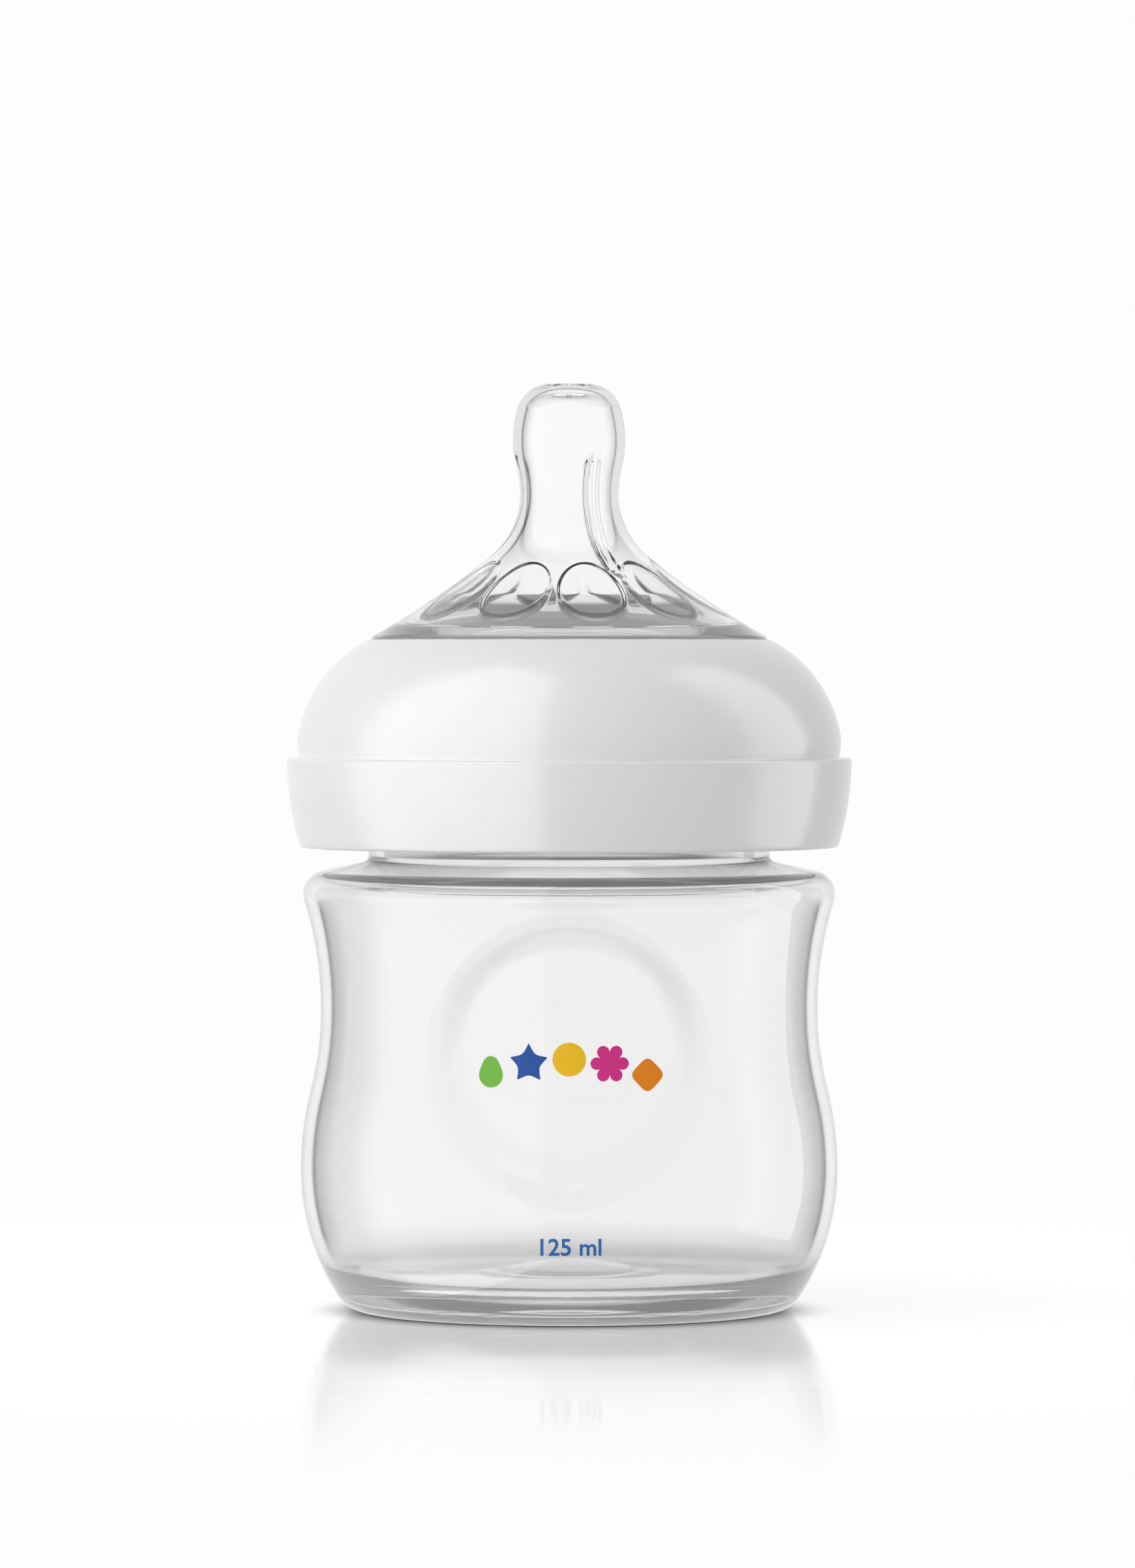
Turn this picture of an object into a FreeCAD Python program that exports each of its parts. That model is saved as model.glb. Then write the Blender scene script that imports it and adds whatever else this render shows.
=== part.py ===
import FreeCAD, Part
import math
import os
import re

import Sketcher

# Wide-neck baby bottle: a clear bottle, a white screw ring and a clear silicone teat.
# Millimetres. +Z runs up the axis, the origin is the centre of the base, the front is -Y.

# Driving sizes. Each has its own cell of the sheet.
SIZES = {
    # Bottle body
    "bulge_radius": 33.35,  # widest part of the lower body
    "bulge_height": 17.5,
    "foot_arc": 29.0,  # curve from the bulge down to the foot
    "foot_round": 4.0,
    "waist_depth": 2.55,  # how far the waist draws in from the bulge
    "waist_height": 37.4,
    "waist_arc": 44.0,  # hollow curve from the waist up to the shoulder
    "shoulder_height": 55.75,  # where the shoulder meets the neck
    "shoulder_drop": 2.0,  # fall of the shoulder out to its corner
    "shoulder_round": 2.9,
    "neck_root_round": 0.8,
    "wall": 1.5,
    "floor_height": 4.0,  # inner floor at the wall
    "floor_hump": 2.3,  # extra height of the floor at the centre
    "floor_round": 4.0,
    "foot_land": 5.0,  # width of the foot around the pushed-up middle, before rounding
    "punt_height": 2.6,
    # Thumb recesses, front and back
    "grip_foot": 14.3,  # base up to a recess
    "grip_shoulder": 6.85,  # a recess up to the shoulder
    "grip_depth": 1.0,
    # Neck and thread
    "neck_radius": 24.9,
    "neck_wall": 1.9,
    "neck_height": 24.15,
    "thread_lead": 6.0,
    "thread_depth": 1.3,
    "thread_root_width": 2.2,
    "thread_crest_width": 1.0,
    "thread_below_rim": 11.4,  # rim down to the start of the bottle's thread
    "bottle_thread_turns": 1.25,
    "ring_thread_turns": 1.1,
    "thread_gap": 0.4,  # radial room between a crest and the other wall
    "flank_gap": 0.3,  # axial room between the two ridges
    # Screw ring
    "ring_gap": 1.65,  # shoulder up to the band
    "band_height": 11.05,
    "band_arc": 37.5,
    "band_ledge": 1.3,  # how far the band stands out from the dome
    "band_wall": 1.9,
    "sleeve_wall": 1.6,
    "sleeve_setback": 0.8,  # band's lower edge up to the sleeve's
    "hollow_width": 3.33,  # space between the sleeve and the outer wall
    "dome_wall": 2.2,
    "dome_rise": 1.95,  # ledge up to the widest part of the dome
    "dome_side_round": 7.0,
    "dome_blend": 12.0,  # degrees of that round above its widest part
    "dome_roof": 3.2,
    "ring_lip": 1.45,  # thickness of the lip that holds the teat
    "lip_rebate": 0.25,
    "ledge_round": 0.35,
    "band_foot_round": 0.5,
    # Teat
    "flange_thickness": 1.6,
    "flange_gap": 0.6,  # room between the flange and the sleeve
    "lip_cover": 1.6,  # how far the ring's lip reaches in over the neck wall
    "snap_gap": 0.2,  # room between the snap groove and the ring's lip
    "seat_gap": 0.05,
    "collar_wall": 2.7,
    "collar_rise": 0.05,  # teat's lip up to the top of its bore
    "teat_lip_overlap": 1.3,
    "teat_lip_height": 0.45,
    "teat_lip_gap": 0.15,
    "teat_wall": 1.1,
    "teat_height": 34.9,  # top of the rim up to the tip
    "tip_round": 4.0,
    "tip_side_arc": 14.0,
    "tip_blend": 17.5,  # degrees
    "tip_dish_depth": 0.35,
    "tip_dish_margin": 0.12,
    "bulb_radius": 6.97,
    "bulb_drop": 6.6,  # bulb's widest part down to the teat's waist
    "bulb_step": 0.84,  # how far the teat's waist draws in from the bulb
    "flare_arc": 10.0,
    "skirt_turn": 4.9,  # degrees from the flare's end to the skirt's chord
    "inner_skirt_turn": 2.2,  # the same, inside
    "groove_radius": 0.7,
    "groove_depth": 0.28,
    "groove_tail": 2.2,
    "groove_count": 3,
    "petal_count": 10,
    "petal_half_length": 5.6,
    "petal_half_width": 3.7,
    "petal_rise": 1.0,  # half thickness of the oval that cuts a petal
    "petal_sink": 0.45,  # how far its middle lies below the skirt's inner face
    "petal_out": 14.9,  # axis out to a petal's middle
    "hole_radius": 0.25,
    "hole_spacing": 1.6,
    "vent_width": 1.2,
    "vent_depth": 0.4,
    "vent_count": 2,
}

# Places worked out from the driving sizes.
PLACES = {
    "waist_radius": "(bulge_radius - waist_depth)",
    "grip_radius": "((shoulder_height - grip_shoulder - grip_foot) / 2)",
    "grip_height": "(grip_foot + grip_radius)",
    "foot_radius": "(bulge_radius - foot_arc + sqrt(foot_arc ^ 2 - bulge_height ^ 2))",
    "punt_radius": "(foot_radius - foot_land)",
    "mid_radius": "(bulge_radius + waist_radius) / 2",
    "mid_height": "(bulge_height + waist_height) / 2",
    "side_run": "(waist_height - bulge_height)",
    "side_arc": "(side_run ^ 2 + waist_depth ^ 2) / (4 * waist_depth)",
    "corner_height": "(shoulder_height - shoulder_drop)",
    "rim_height": "(shoulder_height + neck_height)",
    "neck_bore": "(neck_radius - neck_wall)",
    "flange_top": "(rim_height + flange_thickness)",
    "lip_top": "(flange_top + ring_lip)",
    "snap_radius": "(neck_radius - lip_cover)",
    "lip_radius": "(snap_radius + snap_gap)",
    "teat_lip_radius": "(snap_radius + teat_lip_overlap)",
    "teat_lip_under": "(lip_top + seat_gap)",
    "teat_lip_top": "(teat_lip_under + teat_lip_height)",
    "rebate_radius": "(teat_lip_radius + teat_lip_gap)",
    "dome_top": "(lip_top + lip_rebate)",
    "sleeve_bore": "(neck_radius + thread_depth + thread_gap)",
    "sleeve_radius": "(sleeve_bore + sleeve_wall)",
    "hollow_radius": "(sleeve_radius + hollow_width)",
    "dome_radius": "(hollow_radius + dome_wall)",
    "band_radius": "(dome_radius + band_ledge)",
    "band_bottom": "(shoulder_height + ring_gap)",
    "band_top": "(band_bottom + band_height)",
    "band_foot_radius": "(band_radius - band_arc + sqrt(band_arc ^ 2 - band_height ^ 2))",
    "band_bore": "(band_foot_radius - band_wall)",
    "sleeve_bottom": "(band_bottom + sleeve_setback)",
    "dome_mid": "(band_top + dome_rise)",
    "dome_foot_radius": "(dome_radius - dome_side_round + sqrt(dome_side_round ^ 2 - dome_rise ^ 2))",
    "blend_radius": "(dome_radius - dome_side_round * (1 - cos(dome_blend)))",
    "blend_height": "(dome_mid + dome_side_round * sin(dome_blend))",
    "dome_in": "(blend_radius - rebate_radius)",
    "dome_up": "(dome_top - blend_height)",
    "dome_arc": "(dome_in ^ 2 + dome_up ^ 2) / (2 * (dome_in * cos(dome_blend) - dome_up * sin(dome_blend)))",
    "hollow_top": "(flange_top - dome_roof)",
    "thread_start": "(rim_height - thread_below_rim)",
    "thread_mid_width": "((thread_root_width + thread_crest_width) / 2)",
    "ring_thread_start": "(thread_start - thread_mid_width - flank_gap)",
    "flange_radius": "(sleeve_bore - flange_gap)",
    "teat_bore": "(snap_radius - collar_wall)",
    "collar_top": "(teat_lip_top + collar_rise)",
    "tip_top": "(rim_height + teat_height)",
    "bulb_height": "(tip_top - tip_round - (tip_side_arc - tip_round) * sin(tip_blend))",
    "tip_centre": "(bulb_radius - (tip_side_arc - (tip_side_arc - tip_round) * cos(tip_blend)))",
    "tip_centre_height": "(tip_top - tip_round)",
    "teat_waist_height": "(bulb_height - bulb_drop)",
    "teat_waist_radius": "(bulb_radius - bulb_step)",
    "bulb_mid_height": "(bulb_height - bulb_drop / 2)",
    "bulb_arc": "(bulb_drop ^ 2 + bulb_step ^ 2) / (4 * bulb_step)",
    "flare_centre": "(teat_waist_radius + flare_arc)",
}


def formula(text):
    """Write a text of sizes and places as a formula of the sheet's cells."""

    def put(match):
        """Swap one name for its cell, or for its own worked-out formula."""
        name = match.group(0)
        if name in PLACES:
            return "(" + formula(PLACES[name]) + ")"
        if name in SIZES:
            return "sizes." + name
        return name

    return re.sub(r"[a-z_]+", put, text)


def value(text):
    """Give the number that a text of sizes and places stands for."""
    return float(sheet.evalExpression(formula(text)))


def make_sheet():
    """Keep each driving size in its own named cell."""
    cells = doc.addObject("Spreadsheet::Sheet", "sizes")
    for row, (alias, number) in enumerate(SIZES.items(), start=1):
        cells.set("A%d" % row, alias)
        cells.set("B%d" % row, str(number))
        cells.setAlias("B%d" % row, alias)
    doc.recompute()
    return cells


def plane_of(body, role):
    """Find one of a body's own origin planes or axes."""
    return [item for item in body.Origin.OriginFeatures if item.Role == role][0]


def make_sketch(body, name, role):
    """Start a sketch on one of a body's origin planes."""
    sketch = body.newObject("Sketcher::SketchObject", name)
    sketch.AttachmentSupport = [(plane_of(body, role), "")]
    sketch.MapMode = "FlatFace"
    return sketch


def bind(sketch, constraint, text):
    """Add a constraint and tie its size to the sheet."""
    number = sketch.addConstraint(constraint)
    sketch.setExpression("Constraints[%d]" % number, formula(text))


def arc_between(start, end, radius, turn):
    """Draw the short arc from start to end that turns left or right."""
    chord = end - start
    half = chord.Length / 2
    side = FreeCAD.Vector(-chord.y, chord.x, 0).normalize()
    rise = math.sqrt(max(radius * radius - half * half, 0.0))
    if turn == "right":
        side = side * -1
        start, end = end, start
    centre = (start + end) * 0.5 + side * rise
    circle = Part.Circle(centre, FreeCAD.Vector(0, 0, 1), radius)
    first = math.atan2(start.y - centre.y, start.x - centre.x)
    last = math.atan2(end.y - centre.y, end.x - centre.x)
    return Part.ArcOfCircle(circle, first, last)


def pin_point(sketch, edge, end, across, up):
    """Tie one end of an edge to its formulas."""
    if across == "0":
        sketch.addConstraint(Sketcher.Constraint("PointOnObject", edge, end, -2))
    else:
        bind(sketch, Sketcher.Constraint("DistanceX", -1, 1, edge, end, value(across)), across)
    if up == "0":
        sketch.addConstraint(Sketcher.Constraint("PointOnObject", edge, end, -1))
    else:
        bind(sketch, Sketcher.Constraint("DistanceY", -1, 1, edge, end, value(up)), up)


def draw(sketch, corners, closed=True):
    """Draw an outline. Each corner is (across, up) or (across, up, turn, radius of the arc that leaves it)."""
    points = [FreeCAD.Vector(value(corner[0]), value(corner[1]), 0) for corner in corners]
    count = len(corners) if closed else len(corners) - 1
    ends = []
    for number in range(count):
        start = points[number]
        end = points[(number + 1) % len(points)]
        if len(corners[number]) == 2:
            sketch.addGeometry(Part.LineSegment(start, end))
            ends.append((1, 2))
            continue
        turn = corners[number][2]
        radius = corners[number][3]
        edge = sketch.addGeometry(arc_between(start, end, value(radius), turn))
        bind(sketch, Sketcher.Constraint("Radius", edge, value(radius)), radius)
        ends.append((1, 2) if turn == "left" else (2, 1))
    for number in range(count if closed else count - 1):
        following = (number + 1) % count
        joint = (number, ends[number][1], following, ends[following][0])
        sketch.addConstraint(Sketcher.Constraint("Coincident", *joint))
    for number in range(count):
        pin_point(sketch, number, ends[number][0], corners[number][0], corners[number][1])
    if not closed:
        pin_point(sketch, count - 1, ends[-1][1], corners[-1][0], corners[-1][1])
    doc.recompute()


def make_turned(name, corners):
    """Make a body by turning a closed outline about the axis."""
    body = doc.addObject("PartDesign::Body", name)
    sketch = make_sketch(body, name + "_outline", "XZ_Plane")
    draw(sketch, corners)
    solid = body.newObject("PartDesign::Revolution", name + "_turned")
    solid.Profile = sketch
    solid.ReferenceAxis = (sketch, ["V_Axis"])
    solid.Angle = 360
    doc.recompute()
    return body


def round_rings(body, name, radius, places):
    """Round the circular edges of a turned body at the given radii and heights."""
    base = body.Tip
    wanted = [(value(across), value(up)) for across, up in places]
    names = []
    for number, edge in enumerate(base.Shape.Edges, start=1):
        if edge.Degenerated or not isinstance(edge.Curve, Part.Circle):
            continue
        for across, up in wanted:
            near = abs(edge.Curve.Radius - across) < 1e-4 and abs(edge.Curve.Center.z - up) < 1e-4
            if near and abs(edge.Curve.Axis.z) > 0.99:
                names.append("Edge%d" % number)
    fillet = body.newObject("PartDesign::Fillet", name)
    fillet.Base = (base, names)
    fillet.Radius = value(radius)
    fillet.setExpression("Radius", formula(radius))
    doc.recompute()


def foot_at(inset, up):
    """Radius of the foot curve, set in from the outside, at a height."""
    return "(bulge_radius - foot_arc + sqrt((foot_arc - {0}) ^ 2 - (bulge_height - {1}) ^ 2))".format(inset, up)


def upper_at(inset, up):
    """Radius of the hollow upper curve, set in from the outside, at a height."""
    return "(waist_radius - {0} + waist_arc - sqrt(waist_arc ^ 2 - ({1} - waist_height) ^ 2))".format(inset, up)


def side(inset, low, high):
    """Corners of the body's side curve, set in from the outside, between two heights."""
    return [
        (foot_at(inset, low), low, "left", "foot_arc - " + inset),
        ("bulge_radius - " + inset, "bulge_height", "left", "side_arc"),
        ("mid_radius - " + inset, "mid_height", "right", "side_arc"),
        ("waist_radius - " + inset, "waist_height", "right", "waist_arc"),
        (upper_at(inset, high), high),
    ]


def make_outside():
    """The bottle's outer form, solid, with the pushed-up base."""
    corners = [("0", "punt_height", "right", "(punt_radius ^ 2 + punt_height ^ 2) / (2 * punt_height)")]
    corners += [("punt_radius", "0")]
    corners += side("0", "0", "corner_height")
    corners += [("neck_radius", "shoulder_height"), ("neck_radius", "rim_height"), ("0", "rim_height")]
    body = make_turned("bottle_outside", corners)
    round_rings(body, "foot_rounded", "foot_round", [(foot_at("0", "0"), "0")])
    round_rings(body, "shoulder_rounded", "shoulder_round", [(upper_at("0", "corner_height"), "corner_height")])
    round_rings(body, "neck_root_rounded", "neck_root_round", [("neck_radius", "shoulder_height")])
    return body


def make_outer_core():
    """The outer form set in by the recess depth: the level of the thumb recesses."""
    low = "(punt_height + grip_depth)"
    high = "(corner_height - grip_depth)"
    corners = [("0", low)] + side("grip_depth", low, high)
    corners += [("neck_radius - grip_depth", "shoulder_height - grip_depth"), ("0", "shoulder_height - grip_depth")]
    return make_turned("outer_core", corners)


def cavity_corners(inset, lift, top):
    """Corners of the space inside the bottle, set in from the outside and lifted off the floor."""
    low = "(floor_height + {0})".format(lift)
    low_radius = foot_at(inset, low)
    high = "(corner_height - {0})".format(inset)
    floor_arc = "({0} ^ 2 + floor_hump ^ 2) / (2 * floor_hump)".format(low_radius)
    corners = [("0", "({0} + floor_hump)".format(low), "right", floor_arc)]
    corners += side(inset, low, high)
    corners += [("neck_bore - {0}".format(lift), "(shoulder_height - {0})".format(inset))]
    corners += [("neck_bore - {0}".format(lift), top), ("0", top)]
    return corners


def make_cavity():
    """The space inside the bottle, open through the mouth."""
    high = "(corner_height - wall)"
    body = make_turned("bottle_cavity", cavity_corners("wall", "0", "(rim_height + wall)"))
    round_rings(body, "floor_rounded", "floor_round", [(foot_at("wall", "floor_height"), "floor_height")])
    round_rings(body, "inner_shoulder_rounded", "shoulder_round - wall", [(upper_at("wall", high), high)])
    return body


def make_inner_core():
    """The space inside set in by the recess depth: the inner side of the thumb recesses."""
    corners = cavity_corners("(wall + grip_depth)", "grip_depth", "rim_height")
    body = make_turned("inner_core", corners)
    low = "(floor_height + grip_depth)"
    round_rings(body, "core_floor_rounded", "floor_round", [(foot_at("(wall + grip_depth)", low), low)])
    return body


def make_tunnel(name, radius):
    """A cylinder from front to back that marks out both thumb recesses."""
    tunnel = doc.addObject("Part::Cylinder", name)
    tunnel.Placement = FreeCAD.Placement(FreeCAD.Vector(), FreeCAD.Rotation(FreeCAD.Vector(1, 0, 0), 90))
    tunnel.setExpression("Radius", formula(radius))
    tunnel.setExpression("Height", formula("3 * bulge_radius"))
    tunnel.setExpression("Placement.Base.y", formula("1.5 * bulge_radius"))
    tunnel.setExpression("Placement.Base.z", formula("grip_height"))
    return tunnel


def make_boolean(kind, name, first, second):
    """Join or cut two solids."""
    result = doc.addObject(kind, name)
    result.Base = first
    result.Tool = second
    doc.recompute()
    return result


def make_recessed(name, full, core, tunnel):
    """Sink a turned form's front and back to the level of its core."""
    hollow = make_boolean("Part::Cut", name + "_opened", full, tunnel)
    return make_boolean("Part::Fuse", name, hollow, core)


def add_thread(body, name, corners, turns):
    """Wind a ridge about the axis, rising to the left."""
    sketch = make_sketch(body, name + "_ridge", "XZ_Plane")
    draw(sketch, corners)
    thread = body.newObject("PartDesign::AdditiveHelix", name)
    thread.Profile = sketch
    thread.ReferenceAxis = (sketch, ["V_Axis"])
    thread.Mode = "pitch-turns-angle"
    thread.setExpression("Pitch", formula("thread_lead"))
    thread.setExpression("Turns", formula(turns))
    doc.recompute()


def ridge(root, crest, middle):
    """Corners of a thread ridge from root to crest at a height."""
    return [
        (root, middle + " - thread_root_width / 2"),
        (crest, middle + " - thread_crest_width / 2"),
        (crest, middle + " + thread_crest_width / 2"),
        (root, middle + " + thread_root_width / 2"),
    ]


def make_bottle():
    """The clear bottle."""
    outside = make_recessed(
        "bottle_form", make_outside(), make_outer_core(), make_tunnel("outer_tunnel", "grip_radius"))
    cavity = make_recessed(
        "bottle_space", make_cavity(), make_inner_core(), make_tunnel("inner_tunnel", "(grip_radius + wall)"))
    shell = make_boolean("Part::Cut", "bottle_shell", outside, cavity)
    winding = doc.addObject("PartDesign::Body", "bottle_winding")
    corners = ridge("neck_radius - neck_wall / 4", "neck_radius + thread_depth", "thread_start")
    add_thread(winding, "bottle_thread", corners, "bottle_thread_turns")
    bottle = make_boolean("Part::Fuse", "bottle", shell, winding)
    return bottle


def make_ring():
    """The white screw ring: dome, ledge, band, threaded sleeve and holding lip."""
    corners = [
        ("lip_radius", "flange_top"),
        ("lip_radius", "lip_top"),
        ("rebate_radius", "lip_top"),
        ("rebate_radius", "dome_top", "right", "dome_arc"),
        ("blend_radius", "blend_height", "right", "dome_side_round"),
        ("dome_foot_radius", "band_top"),
        ("band_radius", "band_top", "right", "band_arc"),
        ("band_foot_radius", "band_bottom"),
        ("band_bore", "band_bottom"),
        ("band_bore", "dome_mid", "left", "dome_arc"),
        ("sleeve_radius", "hollow_top"),
        ("sleeve_radius", "sleeve_bottom"),
        ("sleeve_bore", "sleeve_bottom"),
        ("sleeve_bore", "flange_top"),
    ]
    body = make_turned("screw_ring", corners)
    round_rings(body, "ledge_rounded", "ledge_round", [("band_radius", "band_top")])
    round_rings(body, "band_foot_rounded", "band_foot_round", [("band_foot_radius", "band_bottom")])
    corners = ridge("sleeve_bore + sleeve_wall / 4", "sleeve_bore - thread_depth", "ring_thread_start")
    add_thread(body, "ring_thread", corners, "ring_thread_turns")
    return body


def teat_side(inset, turn, across, up):
    """Corners of the teat's side from the tip down to the flare's end, set in from the outside."""
    reach, angle = flare_end(inset, turn, across, up)
    return [
        ("tip_centre", "tip_top - " + inset, "right", "tip_round - " + inset),
        ("tip_centre + (tip_round - {0}) * cos(tip_blend)".format(inset),
         "tip_centre_height + (tip_round - {0}) * sin(tip_blend)".format(inset),
         "right", "tip_side_arc - " + inset),
        ("bulb_radius - " + inset, "bulb_height", "right", "bulb_arc"),
        ("(bulb_radius + teat_waist_radius) / 2 - " + inset, "bulb_mid_height", "left", "bulb_arc"),
        ("teat_waist_radius - " + inset, "teat_waist_height", "left", reach),
        ("flare_centre - {0} * cos({1})".format(reach, angle),
         "teat_waist_height - {0} * sin({1})".format(reach, angle)),
    ]


def flare_end(inset, turn, across, up):
    """Where the flare's curve hands over to the skirt's, which ends at a place.

    The skirt's chord leaves the flare at the angle called turn, so the two curves meet smoothly.
    """
    out = "({0} - flare_centre)".format(across)
    down = "(teat_waist_height - {0})".format(up)
    level = "({0} - tan({2}) * {1})".format(out, down, turn)
    plumb = "({1} + tan({2}) * {0})".format(out, down, turn)
    reach = "(flare_arc + {0})".format(inset)
    angle = "(acos(-{0} / sqrt({1} ^ 2 + {2} ^ 2)) - atan2({2}; {1}))".format(reach, level, plumb)
    return reach, angle


def skirt_arc(corner, turn, across, up):
    """Radius of the skirt's curve from a corner to the place where it ends."""
    chord = "sqrt(({0} - ({1})) ^ 2 + (({2}) - {3}) ^ 2)".format(across, corner[0], corner[1], up)
    return "{0} / (2 * sin({1}))".format(chord, turn)


def add_grooves(body):
    """Three long grooves down the teat's waist."""
    lift = "(groove_radius - groove_depth)"
    angle = flare_end("0", "skirt_turn", "teat_lip_radius", "teat_lip_top")[1]
    reach = "(flare_arc - {0})".format(lift)
    end_across = "(flare_centre - {0} * cos({1}))".format(reach, angle)
    end_up = "(teat_waist_height - {0} * sin({1}))".format(reach, angle)
    path = make_sketch(body, "groove_path", "XZ_Plane")
    draw(path, [
        ("(bulb_radius + teat_waist_radius) / 2 + " + lift, "bulb_mid_height", "left", "bulb_arc"),
        ("teat_waist_radius + " + lift, "teat_waist_height", "left", reach),
        (end_across, end_up),
        (end_across + " + groove_tail * sin({0})".format(angle), end_up + " - groove_tail * cos({0})".format(angle)),
    ], closed=False)
    profile = make_sketch(body, "groove_round", "XY_Plane")
    profile.setExpression("AttachmentOffset.Base.z", formula("bulb_mid_height"))
    across = "(bulb_radius + teat_waist_radius) / 2 + " + lift
    circle = Part.Circle(FreeCAD.Vector(value(across), 0, 0), FreeCAD.Vector(0, 0, 1), value("groove_radius"))
    edge = profile.addGeometry(circle)
    bind(profile, Sketcher.Constraint("DistanceX", -1, 1, edge, 3, value(across)), across)
    profile.addConstraint(Sketcher.Constraint("PointOnObject", edge, 3, -1))
    bind(profile, Sketcher.Constraint("Radius", edge, value("groove_radius")), "groove_radius")
    doc.recompute()
    groove = body.newObject("PartDesign::SubtractivePipe", "groove")
    groove.Profile = profile
    groove.Spine = (path, ["Edge1", "Edge2", "Edge3"])
    doc.recompute()
    add_pattern(body, "grooves", groove, "groove_count")


def add_pattern(body, name, feature, count):
    """Repeat a feature evenly about the axis."""
    pattern = body.newObject("PartDesign::PolarPattern", name)
    pattern.Originals = [feature]
    pattern.Axis = (plane_of(body, "Z_Axis"), [""])
    pattern.Angle = 360
    pattern.setExpression("Occurrences", formula(count))
    body.Tip = pattern
    doc.recompute()


def add_petals(body, corner):
    """A ring of oval recesses on the inside of the skirt, half a step round from the first groove."""
    turn = value("180 / petal_count")
    slope = "((({0}) - collar_top) / (teat_bore - ({1})))".format(corner[1], corner[0])
    down = "(({0}) - (petal_out - ({1})) * {2} - petal_sink)".format(corner[1], corner[0], slope)
    lean = FreeCAD.Rotation(FreeCAD.Vector(0, 1, 0), math.degrees(math.atan(value(slope))))
    spin = FreeCAD.Rotation(FreeCAD.Vector(0, 0, 1), turn)
    petal = body.newObject("PartDesign::SubtractiveEllipsoid", "petal")
    petal.Placement = FreeCAD.Placement(FreeCAD.Vector(), spin * lean)
    petal.setExpression("Radius1", formula("petal_rise"))
    petal.setExpression("Radius2", formula("petal_half_length"))
    petal.setExpression("Radius3", formula("petal_half_width"))
    petal.setExpression("Placement.Base.x", formula("petal_out * cos(180 / petal_count)"))
    petal.setExpression("Placement.Base.y", formula("petal_out * sin(180 / petal_count)"))
    petal.setExpression("Placement.Base.z", formula(down))
    doc.recompute()
    add_pattern(body, "petals", petal, "petal_count")


def add_vents(body):
    """Shallow channels under the flange that let air in past the rim."""
    vent = body.newObject("PartDesign::SubtractiveBox", "vent")
    vent.setExpression("Length", formula("flange_radius - teat_bore + 2 * wall"))
    vent.setExpression("Width", formula("vent_width"))
    vent.setExpression("Height", formula("vent_depth + wall"))
    vent.setExpression("Placement.Base.x", formula("teat_bore - wall"))
    vent.setExpression("Placement.Base.y", formula("-vent_width / 2"))
    vent.setExpression("Placement.Base.z", formula("rim_height - wall"))
    doc.recompute()
    add_pattern(body, "vents", vent, "vent_count")


def add_flow_holes(body):
    """Two pinholes through the tip."""
    sketch = make_sketch(body, "flow_hole_marks", "XY_Plane")
    for sign in (-1, 1):
        place = FreeCAD.Vector(sign * value("hole_spacing") / 2, 0, 0)
        edge = sketch.addGeometry(Part.Circle(place, FreeCAD.Vector(0, 0, 1), value("hole_radius")))
        across = "{0} * hole_spacing / 2".format(sign)
        bind(sketch, Sketcher.Constraint("DistanceX", -1, 1, edge, 3, place.x), across)
        sketch.addConstraint(Sketcher.Constraint("PointOnObject", edge, 3, -1))
        bind(sketch, Sketcher.Constraint("Radius", edge, value("hole_radius")), "hole_radius")
    doc.recompute()
    holes = body.newObject("PartDesign::Pocket", "flow_holes")
    holes.Profile = sketch
    holes.Type = "ThroughAll"
    holes.Reversed = True
    doc.recompute()


def make_teat():
    """The clear silicone teat."""
    outer = teat_side("0", "skirt_turn", "teat_lip_radius", "teat_lip_top")
    inner = teat_side("teat_wall", "inner_skirt_turn", "teat_bore", "collar_top")
    dish = "(tip_centre - tip_dish_margin)"
    outer_arc = skirt_arc(outer[-1], "skirt_turn", "teat_lip_radius", "teat_lip_top")
    inner_arc = skirt_arc(inner[-1], "inner_skirt_turn", "teat_bore", "collar_top")
    corners = [("0", "tip_top - tip_dish_depth"), (dish, "tip_top - tip_dish_depth"), (dish, "tip_top")]
    corners += outer[:-1]
    corners += [outer[-1] + ("left", outer_arc)]
    corners += [
        ("teat_lip_radius", "teat_lip_top"),
        ("teat_lip_radius", "teat_lip_under"),
        ("snap_radius", "teat_lip_under"),
        ("snap_radius", "flange_top"),
        ("flange_radius", "flange_top"),
        ("flange_radius", "rim_height"),
        ("teat_bore", "rim_height"),
        ("teat_bore", "collar_top", "right", inner_arc),
    ]
    back = inner[::-1]
    for number in range(len(back) - 1):
        turn = "right" if back[number + 1][2] == "left" else "left"
        corners.append(back[number][:2] + (turn, back[number + 1][3]))
    corners += [back[-1][:2], ("0", "tip_top - teat_wall")]
    body = make_turned("teat", corners)
    add_grooves(body)
    add_petals(body, inner[-1])
    add_vents(body)
    add_flow_holes(body)
    body.Placement = FreeCAD.Placement(FreeCAD.Vector(), FreeCAD.Rotation(FreeCAD.Vector(0, 0, 1), TEAT_TURN))
    return body


def write_parts(parts):
    """Check every object and write one file for each piece."""
    doc.recompute()
    for item in doc.Objects:
        bad = [state for state in item.State if state in ("Invalid", "Error")]
        if bad:
            raise RuntimeError("%s is %s" % (item.Name, bad))
    os.makedirs("parts", exist_ok=True)
    for part in parts:
        if part.Shape.isNull() or not part.Shape.isValid():
            raise RuntimeError("%s has no valid shape" % part.Label)
        part.Shape.exportStep("parts/%s.step" % part.Label)
        box = part.Shape.BoundBox
        print(part.Label, len(part.Shape.Solids), round(part.Shape.Volume, 1), box)


TEAT_TURN = -64.0  # degrees; one groove faces the front, to the right of the middle

doc = FreeCAD.newDocument("baby_bottle")
sheet = make_sheet()
write_parts([make_bottle(), make_ring(), make_teat()])
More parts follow.
